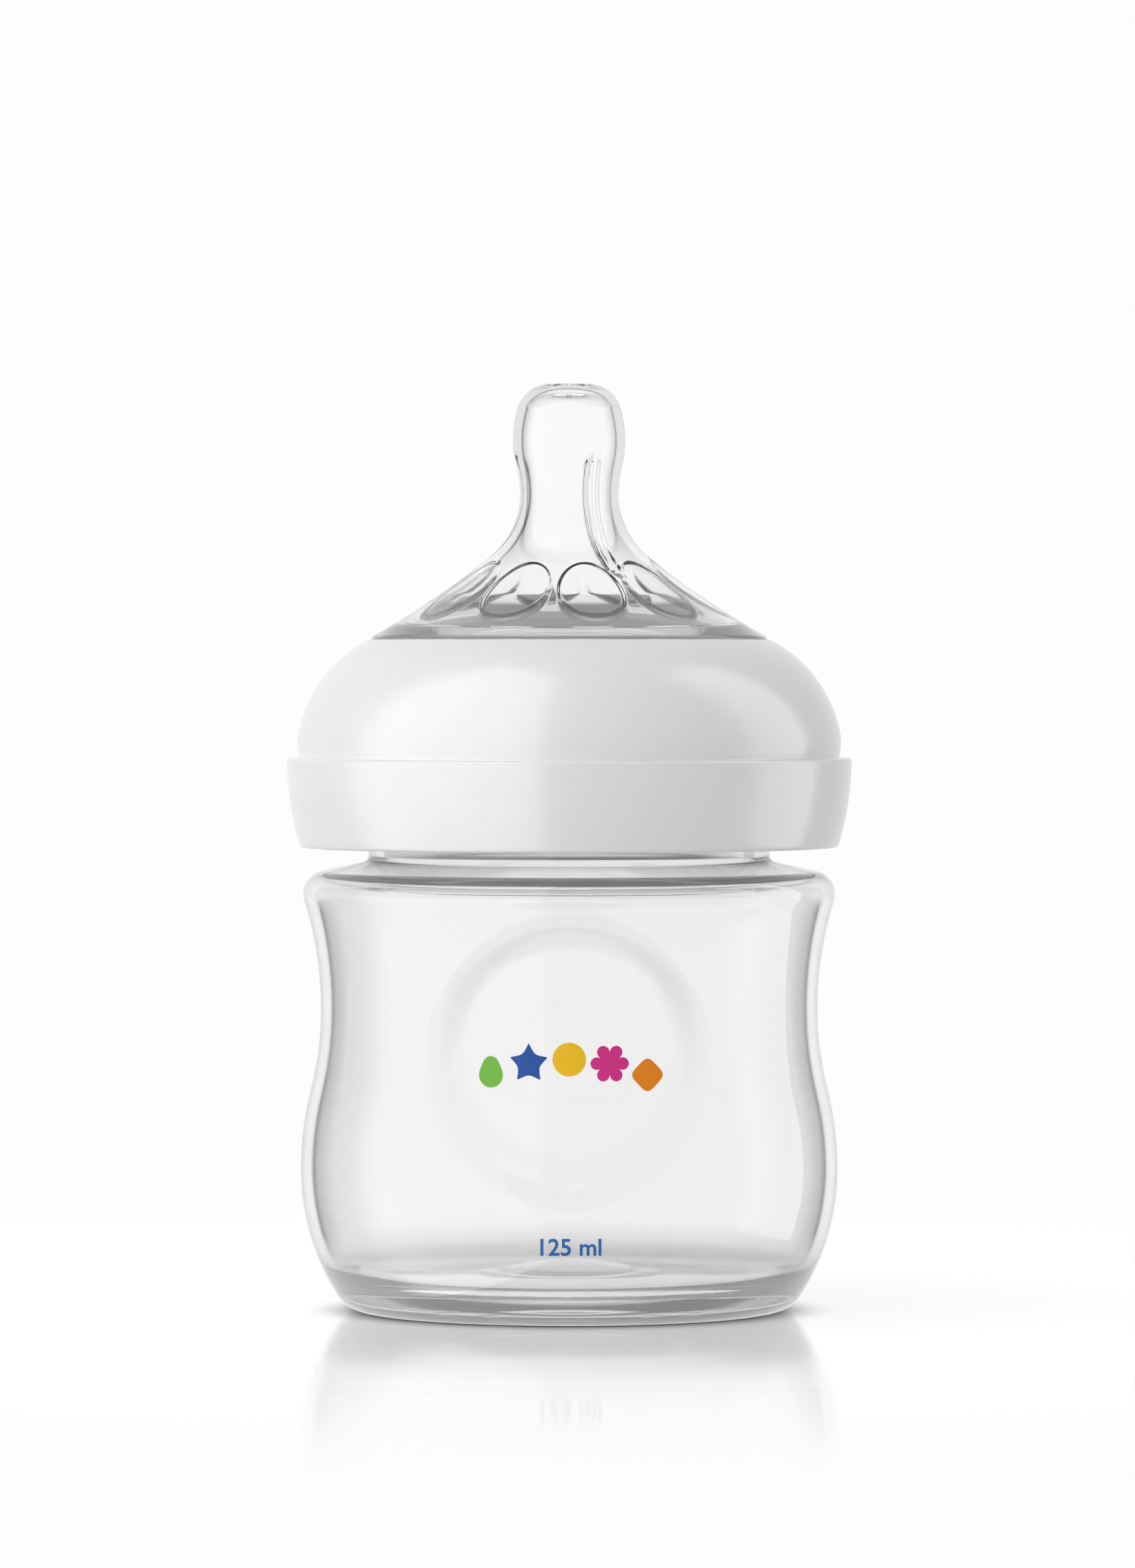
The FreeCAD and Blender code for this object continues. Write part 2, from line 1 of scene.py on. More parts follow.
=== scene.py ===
import logging
import math
from dataclasses import dataclass, field
from enum import Enum

import bpy
import numpy as np
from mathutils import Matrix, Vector


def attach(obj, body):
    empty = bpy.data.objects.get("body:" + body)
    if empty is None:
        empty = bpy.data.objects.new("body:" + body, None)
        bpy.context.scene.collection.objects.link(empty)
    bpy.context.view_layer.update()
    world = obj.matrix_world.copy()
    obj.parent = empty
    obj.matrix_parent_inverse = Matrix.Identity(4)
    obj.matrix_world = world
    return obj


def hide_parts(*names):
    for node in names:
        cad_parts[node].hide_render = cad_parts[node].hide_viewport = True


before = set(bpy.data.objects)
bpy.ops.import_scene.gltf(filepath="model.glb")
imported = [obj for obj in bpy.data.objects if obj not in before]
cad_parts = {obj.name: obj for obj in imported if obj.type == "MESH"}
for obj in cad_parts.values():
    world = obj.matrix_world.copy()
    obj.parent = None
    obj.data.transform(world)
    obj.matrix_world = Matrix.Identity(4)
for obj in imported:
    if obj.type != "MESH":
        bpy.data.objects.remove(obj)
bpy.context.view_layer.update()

# Wide-neck baby bottle in a bright studio: clear bottle, white screw ring, clear silicone teat.
# Sizes are in millimetres until a mesh is made, and the front of the bottle faces -Y.

Array = np.ndarray
Point = tuple[float, float]
Pair = tuple[float, float]
MM = 0.001
WHITE = "#FFFFFF"
DOUBLED_MM = 0.002  # contour points closer than this are one point
log = logging.getLogger("baby_bottle")


class Wall(Enum):
    """Which face of a moulding a stretch of its contour belongs to."""

    OUTER = 0
    INNER = 1
    OTHER = 2


class Ends(Enum):
    """What a grid does at its first and last row: join up, close on two points, or spread from one."""

    LOOP = "loop"
    POLES = "poles"
    DISC = "disc"


def linear(hex_code: str) -> tuple[float, float, float, float]:
    """Turn an sRGB hex colour into linear red, green and blue with full alpha.

    Args:
        hex_code: six hex digits after a hash sign.
    Returns:
        Linear colour as Blender's sockets take it.
    """
    srgb = np.array([int(hex_code[i:i + 2], 16) for i in (1, 3, 5)]) / 255
    rgb = np.where(srgb <= 0.04045, srgb / 12.92, ((srgb + 0.055) / 1.055) ** 2.4)
    return (float(rgb[0]), float(rgb[1]), float(rgb[2]), 1.0)


def add_node(tree: bpy.types.NodeTree, kind: str, inputs: dict[str | int, object] | None = None,
             **settings: object) -> bpy.types.Node:
    """Add one node, set its options, and fill or link its inputs.

    Args:
        tree: tree that gets the node.
        kind: Blender's name for the node's type.
        inputs: socket name or number, with a plain value or an output socket to link from.
        settings: properties of the node itself.
    Returns:
        The new node.
    """
    made = tree.nodes.new(kind)
    for name, value in settings.items():
        setattr(made, name, value)
    for key, value in (inputs or {}).items():
        if isinstance(value, bpy.types.NodeSocket):
            tree.links.new(value, made.inputs[key])
        else:
            made.inputs[key].default_value = value
    return made


def new_material(name: str) -> tuple[bpy.types.Material, bpy.types.NodeTree]:
    """Make an empty node material.

    Args:
        name: plain name of the real material.
    Returns:
        The material and its node tree.
    """
    material = bpy.data.materials.new(name)
    material.use_nodes = True
    material.node_tree.nodes.clear()
    return material, material.node_tree


def line(start: Point, end: Point, count: int) -> Array:
    """Give evenly spaced points of a straight line from start to end."""
    return np.linspace(np.array(start), np.array(end), count)


def arc(centre: Point, radius: float, start: float, end: float, count: int) -> Array:
    """Give points of a circle: centre plus radius times cosine and sine of an evenly run angle.

    Args:
        centre: radius and height of the circle's centre.
        radius: circle's own radius.
        start: first angle in degrees, from straight outwards and upwards.
        end: last angle in degrees.
        count: number of points.
    Returns:
        Points, one row each.
    """
    angle = np.radians(np.linspace(start, end, count))
    return np.array(centre) + radius * np.stack([np.cos(angle), np.sin(angle)], axis=1)


def rounded(corners: list[tuple[float, float, float]], count: int = 6) -> Array:
    """Give an open line through corners, each drawn as a tangent arc of its own radius.

    The arc's centre lies on the corner's bisector, at the radius over the sine of the half angle.

    Args:
        corners: radius, height and rounding of each corner; the ends stay as they are.
        count: points on each arc.
    Returns:
        Points, one row each.
    """
    at = np.array([corner[:2] for corner in corners])
    pieces = [at[:1]]
    for i in range(1, len(corners) - 1):
        back = (at[i - 1] - at[i]) / np.linalg.norm(at[i - 1] - at[i])
        ahead = (at[i + 1] - at[i]) / np.linalg.norm(at[i + 1] - at[i])
        radius = corners[i][2]
        half = math.acos(float(np.clip(back @ ahead, -1, 1))) / 2
        centre = at[i] + (back + ahead) / np.linalg.norm(back + ahead) * radius / math.sin(half)
        reach = radius / math.tan(half)
        first = at[i] + back * reach - centre
        last = at[i] + ahead * reach - centre
        start = math.degrees(math.atan2(first[1], first[0]))
        turn = (math.degrees(math.atan2(last[1], last[0])) - start + 180) % 360 - 180
        pieces.append(arc((centre[0], centre[1]), radius, start, start + turn, count))
    pieces.append(at[-1:])
    return np.concatenate(pieces)


def join(runs: list[tuple[Array, Wall]]) -> tuple[Array, Array]:
    """Set stretches of contour end to end and drop doubled points.

    Args:
        runs: points of each stretch, and the wall that it lies on.
    Returns:
        All points, and each point's wall as that member's number.
    """
    points = np.concatenate([run for run, wall in runs])
    walls = np.concatenate([np.full(len(run), wall.value) for run, wall in runs])
    apart = np.linalg.norm(np.diff(points, axis=0), axis=1) > DOUBLED_MM
    keep = np.concatenate([[True], apart])
    return points[keep], walls[keep]


def face_normals(points: Array) -> Array:
    """Give the unit normal at each point of an open contour: the tangent turned a quarter clockwise.

    Args:
        points: the contour as radius and height.
    Returns:
        Normals, one row each.
    """
    tangent = np.gradient(points, axis=0)
    normal = np.stack([tangent[:, 1], -tangent[:, 0]], axis=1)
    return normal / np.linalg.norm(normal, axis=1, keepdims=True)


def run_length(points: Array) -> Array:
    """Give each contour point's distance along the contour from its first point."""
    return np.concatenate([[0.0], np.cumsum(np.linalg.norm(np.diff(points, axis=0), axis=1))])


def rise(value: Array, start: float, reach: float) -> Array:
    """Rise evenly from 0 at start to 1 at start plus reach, and stay there."""
    return np.clip((value - start) / reach, 0, 1)


def fall(value: Array, end: float, reach: float) -> Array:
    """Stay at 1 until reach short of end, and fall evenly to 0 there."""
    return np.clip((end - value) / reach, 0, 1)


def ramp(value: Array, soft: float) -> Array:
    """Rise from 0 to 1 as value goes from 0 to 1, with both bends rounded.

    Half the difference of two softened absolute values, each the root of a square plus soft squared.
    It leaves a faint tail below 0, which a shape cuts off a little way out.

    Args:
        value: where on the rise each place is.
        soft: how wide the bends are, as a share of the rise.
    Returns:
        Height of the rise at each place.
    """
    climb = np.sqrt(value ** 2 + soft ** 2) - np.sqrt((value - 1) ** 2 + soft ** 2)
    return np.clip((climb + 1) / 2, 0, 1)


def half_chord(radius: float, away: Array) -> Array:
    """Give how far a circle reaches sideways at a distance above or below its centre."""
    return np.sqrt(np.maximum(radius ** 2 - away ** 2, 0))


def turned_from(angle: Array, middle: float) -> Array:
    """Give the signed angle from middle to each angle, in radians within half a turn."""
    return (angle - middle + math.pi) % (2 * math.pi) - math.pi


@dataclass(frozen=True)
class Thread:
    """One ridge of a screw thread on a round wall; both threads climb at the same lead."""

    start: float
    turns: float
    lead: float = 6.0
    depth: float = 1.3
    root_width: float = 2.2
    crest_width: float = 1.0
    bend: float = 0.12
    fade: float = 1 / 16
    cut: float = 1.2

    def raised(self, height: Array, angle: Array) -> Array:
        """Give how far the ridge stands out of the wall at each height and angle.

        Its middle climbs by one lead a turn, its section is a trapezium, and it fades in over a
        sixteenth of a turn at both ends.

        Args:
            height: heights in millimetres.
            angle: angles in radians, shaped to go with the heights.
        Returns:
            Depth in millimetres for every pair.
        """
        root, crest = self.root_width / 2, self.crest_width / 2
        share = np.zeros(np.broadcast(height, angle).shape)
        for lap in range(math.ceil(self.turns)):
            turn = angle % (2 * math.pi) / (2 * math.pi) + lap
            away = np.abs(height - self.start - self.lead * turn)
            section = ramp((root - away) / (root - crest), self.bend)
            ends = rise(turn, 0.0, self.fade) * fall(turn, self.turns, self.fade)
            share = np.maximum(share, np.where(away < root * self.cut, section * ends, 0))
        return self.depth * share


def mesh_object(name: str, vertices: Array, loops: Array, sizes: Array) -> bpy.types.Object:
    """Make a smooth mesh object from whole arrays and link it to the scene.

    Args:
        name: plain name of the piece.
        vertices: places in metres, one row each.
        loops: corner indices of all faces, end to end.
        sizes: number of corners of each face.
    Returns:
        The new object, at the origin.
    """
    mesh = bpy.data.meshes.new(name)
    mesh.vertices.add(len(vertices))
    mesh.vertices.foreach_set("co", vertices.astype(np.float32).ravel())
    mesh.loops.add(len(loops))
    mesh.loops.foreach_set("vertex_index", loops.astype(np.int32))
    mesh.polygons.add(len(sizes))
    mesh.polygons.foreach_set("loop_start", (np.cumsum(sizes) - sizes).astype(np.int32))
    mesh.polygons.foreach_set("loop_total", sizes.astype(np.int32))
    mesh.polygons.foreach_set("use_smooth", np.ones(len(sizes), dtype=bool))
    mesh.update(calc_edges=True)
    mesh.validate()
    made = bpy.data.objects.new(name, mesh)
    bpy.context.scene.collection.objects.link(made)
    return made


def set_points(made: bpy.types.Object, name: str, values: Array) -> None:
    """Store one number for each point of a piece under a name that its finish reads."""
    points = made.data.attributes.new(name, "FLOAT", "POINT").data
    points.foreach_set("value", values.astype(np.float32).ravel())


def grid_object(name: str, places: Array, ends: Ends, flip: bool = False) -> tuple[bpy.types.Object, Array]:
    """Make a piece from rows of places, each row running all the way round.

    Args:
        name: plain name of the piece.
        places: places in metres, laid out by row, column and axis.
        ends: what the first and last rows do.
        flip: faces look to the other side.
    Returns:
        The new object, and the numbers of the places that it uses.
    """
    rows, columns = places.shape[:2]
    index = np.arange(rows * columns).reshape(rows, columns)
    fans = np.zeros((0, 3), dtype=int)
    if ends is Ends.LOOP:
        low, high = index, np.roll(index, -1, axis=0)
    else:
        low, high = index[1:-1], index[2:]
        fans = np.stack([np.full(columns, index[0, 0]), np.roll(index[1], -1), index[1]], axis=1)
    if ends is Ends.POLES:
        low, high = low[:-1], high[:-1]
        last = np.stack([index[-2], np.roll(index[-2], -1), np.full(columns, index[-1, 0])], axis=1)
        fans = np.concatenate([fans, last])
    quads = np.stack([low, np.roll(low, -1, 1), np.roll(high, -1, 1), high], axis=2).reshape(-1, 4)
    if flip:
        quads, fans = quads[:, [0, 3, 2, 1]], fans[:, [0, 2, 1]]
    used, loops = np.unique(np.concatenate([quads.ravel(), fans.ravel()]), return_inverse=True)
    sizes = np.repeat([4, 3], [len(quads), len(fans)])
    return mesh_object(name, places.reshape(-1, 3)[used], loops, sizes), used


def revolve(name: str, radius: Array, height: Array, angle: Array, ends: Ends,
            marks: dict[str, Array]) -> bpy.types.Object:
    """Carry a contour round the axis: x is radius times cosine, y radius times sine, z height.

    Args:
        name: plain name of the piece.
        radius: radii in millimetres, one row per contour point and one column per angle.
        height: heights, laid out the same way.
        angle: angles in radians, rising.
        ends: the contour is a loop, or its two ends are poles on the axis.
        marks: numbers for the finish, by name, laid out as the radii are.
    Returns:
        The new object.
    """
    places = np.stack([radius * np.cos(angle), radius * np.sin(angle), height], axis=2) * MM
    made, used = grid_object(name, places, ends)
    for mark, values in marks.items():
        set_points(made, mark, np.broadcast_to(values, radius.shape).reshape(-1)[used])
    return made


@dataclass(frozen=True)
class ClearMoulding:
    """What both clear plastics share: painted grey shade where the eye grazes a wall, hazy where the wall
    is thick.

    The line's stops are places either side of it, each with its shade. A mark is a name under which
    the piece keeps a number for each of its points.
    """

    name: str
    colour: str
    graze: str
    edge: str
    edge_from: float
    line_at: float
    line_stops: tuple[tuple[float, str], ...]
    rim: str
    steep_mark: str
    steep: str
    haze_mark: str
    clear: Pair
    absorbed: str
    density: float
    ior: float
    roughness: float
    shine: str

    def colour_with_painted_shade(self, tree: bpy.types.NodeTree) -> bpy.types.NodeSocket:
        """Add the nodes that paint grey shade on the wall where it is seen edge on, and on the marked rim
        or petal foot.

        Args:
            tree: the material's node tree.
        Returns:
            Output that carries the colour.
        """
        # Painted shade: a clear wall is greyed where its inner face is seen edge on, in place of the dark
        # that the bent light shows there.
        facing = add_node(tree, "ShaderNodeLayerWeight", {"Blend": 0.5})
        graze = add_node(tree, "ShaderNodeMapRange", {
            "Value": facing.outputs["Facing"], "From Min": self.edge_from, "From Max": 1.0})
        wall = add_node(tree, "ShaderNodeAttribute", attribute_name="inner_wall")
        share = add_node(tree, "ShaderNodeMath", {
            0: graze.outputs["Result"], 1: wall.outputs["Fac"]}, operation="MULTIPLY")
        tint = add_node(tree, "ShaderNodeValToRGB", {"Fac": share.outputs["Value"]})
        tint.color_ramp.elements[0].color = linear(self.colour)
        tint.color_ramp.elements[1].color = linear(self.edge)
        tint.color_ramp.elements.new(0.5).color = linear(self.graze)
        # Through the outer face that painted edge shade shows as one dark line, with a lighter margin
        # outside it.
        outline = add_node(tree, "ShaderNodeValToRGB", {"Fac": facing.outputs["Facing"]})
        outline.color_ramp.elements[0].color = linear(WHITE)
        outline.color_ramp.elements[1].color = linear(self.rim)
        for beside, shade in self.line_stops:
            outline.color_ramp.elements.new(self.line_at + beside).color = linear(shade)
        face = add_node(tree, "ShaderNodeAttribute", attribute_name="outer_wall")
        edged = add_node(tree, "ShaderNodeMix", {
            0: face.outputs["Fac"], 6: tint.outputs["Color"], 7: outline.outputs["Color"]},
            data_type="RGBA", blend_type="MULTIPLY")
        # Painted shade: the sloping rim of a recess is greyed thinly, and the foot of a petal is painted
        # the grey of what is seen behind it.
        slope = add_node(tree, "ShaderNodeAttribute", attribute_name=self.steep_mark)
        colour = add_node(tree, "ShaderNodeMix", {
            0: slope.outputs["Fac"], 6: edged.outputs[2], 7: linear(self.steep)},
            data_type="RGBA", blend_type="MULTIPLY")
        return colour.outputs[2]

    def close(self, tree: bpy.types.NodeTree, gloss: dict[str | int, object]) -> None:
        """Add the shader, the light that the plastic takes up inside, and the output.

        Args:
            tree: the material's node tree.
            gloss: the shader's inputs in which the plastics differ.
        """
        # Thick places hold enough of the plastic to look slightly hazy.
        mark = add_node(tree, "ShaderNodeAttribute", attribute_name=self.haze_mark)
        clear = add_node(tree, "ShaderNodeMapRange", {
            "Value": mark.outputs["Fac"], "To Min": self.clear[0], "To Max": self.clear[1]})
        shader = add_node(tree, "ShaderNodeBsdfPrincipled", {
            "Base Color": self.colour_with_painted_shade(tree), "IOR": self.ior,
            "Transmission Weight": clear.outputs["Result"], **gloss})
        inside = add_node(tree, "ShaderNodeVolumeAbsorption", {
            "Color": linear(self.absorbed), "Density": self.density})
        add_node(tree, "ShaderNodeOutputMaterial", {
            "Surface": shader.outputs["BSDF"], "Volume": inside.outputs["Volume"]})


@dataclass(frozen=True)
class ClearPolypropylene(ClearMoulding):
    """Clear blow-moulded polypropylene: glossy, with a painted grey shade line where the eye grazes its
    inner wall.
    """

    name: str = "polypropylene_clear_moulded"
    colour: str = "#FAFAFA"
    # Painted edge shade: graze, edge, rim and the line's stops.
    graze: str = "#C4C4C4"
    edge: str = "#2C2C2C"
    edge_from: float = 0.32
    line_at: float = 0.695
    line_stops: tuple[tuple[float, str], ...] = (
        (-0.16, WHITE), (-0.05, "#C9CBCB"), (0.0, "#4A4A4A"), (0.04, WHITE), (0.13, WHITE))
    rim: str = "#575757"
    steep_mark: str = "grip_rim"
    # Painted shade on the recess rim.
    steep: str = "#EEEEEE"
    haze_mark: str = "thick_wall"
    clear: Pair = (0.985, 0.79)
    absorbed: str = "#DEDEDE"
    density: float = 8.0
    ior: float = 1.49
    roughness: float = 0.045
    shine: str = "#8C8C8C"
    ripple_mm: float = 9.0
    ripple_height_mm: float = 0.0006

    def material(self) -> bpy.types.Material:
        """Build the material.

        Returns:
            The new material.
        """
        made, tree = new_material(self.name)
        place = add_node(tree, "ShaderNodeTexCoord")
        # Slow waves that the mould and the cooling leave in the wall.
        ripple = add_node(tree, "ShaderNodeTexNoise", {
            "Vector": place.outputs["Object"], "Scale": 1 / (self.ripple_mm * MM), "Detail": 1.0})
        bump = add_node(tree, "ShaderNodeBump", {
            "Height": ripple.outputs["Fac"], "Distance": self.ripple_height_mm * MM, "Strength": 1.0})
        # Thick places throw light to and fro undimmed, while the thin wall shines less than glass.
        thick = add_node(tree, "ShaderNodeAttribute", attribute_name=self.haze_mark)
        shine = add_node(tree, "ShaderNodeMix", {
            0: thick.outputs["Fac"], 6: linear(self.shine), 7: linear(WHITE)}, data_type="RGBA")
        self.close(tree, {"Roughness": self.roughness, "Specular Tint": shine.outputs[2],
                          "Normal": bump.outputs["Normal"]})
        return made


@dataclass(frozen=True)
class ClearSilicone(ClearMoulding):
    """Liquid-moulded clear silicone rubber: soft shine, milky where thick, clearer in the thin petals."""

    name: str = "silicone_clear_moulded"
    colour: str = "#FEFEFE"
    # Painted edge shade: graze, edge, rim and the line's stops.
    graze: str = "#C4C4C4"
    edge: str = "#343434"
    edge_from: float = 0.35
    line_at: float = 0.45
    line_stops: tuple[tuple[float, str], ...] = (
        (-0.15, WHITE), (-0.04, "#DFE1E1"), (0.0, "#4E4E4E"), (0.05, "#D0D0D0"), (0.35, "#D0D0D0"))
    rim: str = "#6C6C6C"
    steep_mark: str = "petal_foot"
    # Painted shade on each petal's foot.
    steep: str = "#5C5C5C"
    haze_mark: str = "thin_wall"
    clear: Pair = (0.86, 0.99)
    absorbed: str = "#CBCBCB"
    density: float = 8.0
    ior: float = 1.41
    roughness: float = 0.04
    shine: str = "#6E6E6E"
    grain_mm: float = 1.6
    uneven: Pair = (0.6, 1.4)

    def material(self) -> bpy.types.Material:
        """Build the material.

        Returns:
            The new material.
        """
        made, tree = new_material(self.name)
        place = add_node(tree, "ShaderNodeTexCoord")
        # Handling and steam leave the polish uneven in patches of a millimetre or two.
        grain = add_node(tree, "ShaderNodeTexNoise", {
            "Vector": place.outputs["Object"], "Scale": 1 / (self.grain_mm * MM), "Detail": 2.0})
        polish = add_node(tree, "ShaderNodeMapRange", {
            "Value": grain.outputs["Fac"], "To Min": self.roughness * self.uneven[0],
            "To Max": self.roughness * self.uneven[1]})
        self.close(tree, {"Roughness": polish.outputs["Result"], "Specular Tint": linear(self.shine)})
        return made


@dataclass(frozen=True)
class WhitePolypropylene:
    """Injection-moulded white polypropylene: opaque, slightly warm white with a clean satin gloss."""

    name: str = "polypropylene_white_moulded"
    colour: str = "#EAEAE8"
    shade: str = "#E7E7E5"
    ior: float = 1.52
    roughness: float = 0.2
    grain_mm: float = 0.8
    uneven: Pair = (0.85, 1.15)
    # Strength of the painted glow on the ring's inside faces.
    through: float = 0.42

    def material(self) -> bpy.types.Material:
        """Build the material.

        Returns:
            The new material.
        """
        made, tree = new_material(self.name)
        place = add_node(tree, "ShaderNodeTexCoord")
        # The polished mould leaves a grain of under a millimetre in the colour and the gloss.
        grain = add_node(tree, "ShaderNodeTexNoise", {
            "Vector": place.outputs["Object"], "Scale": 1 / (self.grain_mm * MM), "Detail": 3.0})
        colour = add_node(tree, "ShaderNodeValToRGB", {"Fac": grain.outputs["Fac"]})
        colour.color_ramp.elements[0].color = linear(self.shade)
        colour.color_ramp.elements[1].color = linear(self.colour)
        polish = add_node(tree, "ShaderNodeMapRange", {
            "Value": grain.outputs["Fac"], "To Min": self.roughness * self.uneven[0],
            "To Max": self.roughness * self.uneven[1]})
        # Painted glow: the marked inside faces give off light of their own, in place of the light outside
        # that the wall lets through, so the inside is never dark.
        inside = add_node(tree, "ShaderNodeAttribute", attribute_name="inside")
        glow = add_node(tree, "ShaderNodeMath", {
            0: inside.outputs["Fac"], 1: self.through}, operation="MULTIPLY")
        shader = add_node(tree, "ShaderNodeBsdfPrincipled", {
            "Base Color": colour.outputs["Color"], "Roughness": polish.outputs["Result"], "IOR": self.ior,
            "Emission Color": linear(self.colour), "Emission Strength": glow.outputs["Value"]})
        add_node(tree, "ShaderNodeOutputMaterial", {"Surface": shader.outputs["BSDF"]})
        return made


@dataclass(frozen=True)
class PrintingInk:
    """Screen-printing ink on plastic: flat opaque colour with a low sheen and a fine mesh mottle."""

    name: str
    colour: str
    roughness: float = 0.4
    ior: float = 1.5
    sheen: float = 0.15
    mottle_mm: float = 0.25
    mottle_dark: float = 0.94

    def material(self) -> bpy.types.Material:
        """Build the material.

        Returns:
            The new material.
        """
        made, tree = new_material(self.name)
        place = add_node(tree, "ShaderNodeTexCoord")
        # The printing screen leaves tiny dots of thicker and thinner ink.
        mottle = add_node(tree, "ShaderNodeTexNoise", {
            "Vector": place.outputs["Object"], "Scale": 1 / (self.mottle_mm * MM), "Detail": 1.0})
        red, green, blue, alpha = linear(self.colour)
        dark = self.mottle_dark
        colour = add_node(tree, "ShaderNodeValToRGB", {"Fac": mottle.outputs["Fac"]})
        colour.color_ramp.elements[0].color = (red * dark, green * dark, blue * dark, alpha)
        colour.color_ramp.elements[1].color = (red, green, blue, alpha)
        shader = add_node(tree, "ShaderNodeBsdfPrincipled", {
            "Base Color": colour.outputs["Color"], "Roughness": self.roughness, "IOR": self.ior,
            "Specular IOR Level": self.sheen})
        add_node(tree, "ShaderNodeOutputMaterial", {"Surface": shader.outputs["BSDF"]})
        return made


class Motif(Enum):
    """Shapes of the little printed marks."""

    DISC = "disc"
    STAR = "star"
    TILE = "tile"
    FLOWER = "flower"
    DROP = "drop"

    def outline(self, turn: Array) -> Array:
        """Give the outline's distance from the middle, near 1, for each turn in radians.

        A disc is constant, a flower has the root of a six-fold cosine, a star sharp five-fold
        points, a tile is a square with full sides on its corner, and a drop adds a steep sine.

        Args:
            turn: turns from straight right, in radians.
        Returns:
            Distance for each turn.
        """
        if self is Motif.STAR:
            from_notch = np.abs((turn - math.pi / 2) % (2 * math.pi / 5) - math.pi / 5)
            return 0.62 / np.cos(from_notch * 0.9) ** 3.2
        if self is Motif.TILE:
            aslant = turn + math.pi / 4
            return 0.86 / (np.abs(np.cos(aslant)) ** 4 + np.abs(np.sin(aslant)) ** 4) ** 0.25
        if self is Motif.FLOWER:
            return 0.60 + 0.42 * np.abs(np.cos(3 * turn)) ** 0.6
        if self is Motif.DROP:
            return 0.72 + 0.36 * np.clip(np.sin(turn), 0, 1) ** 5
        return np.full(turn.shape, 0.92)


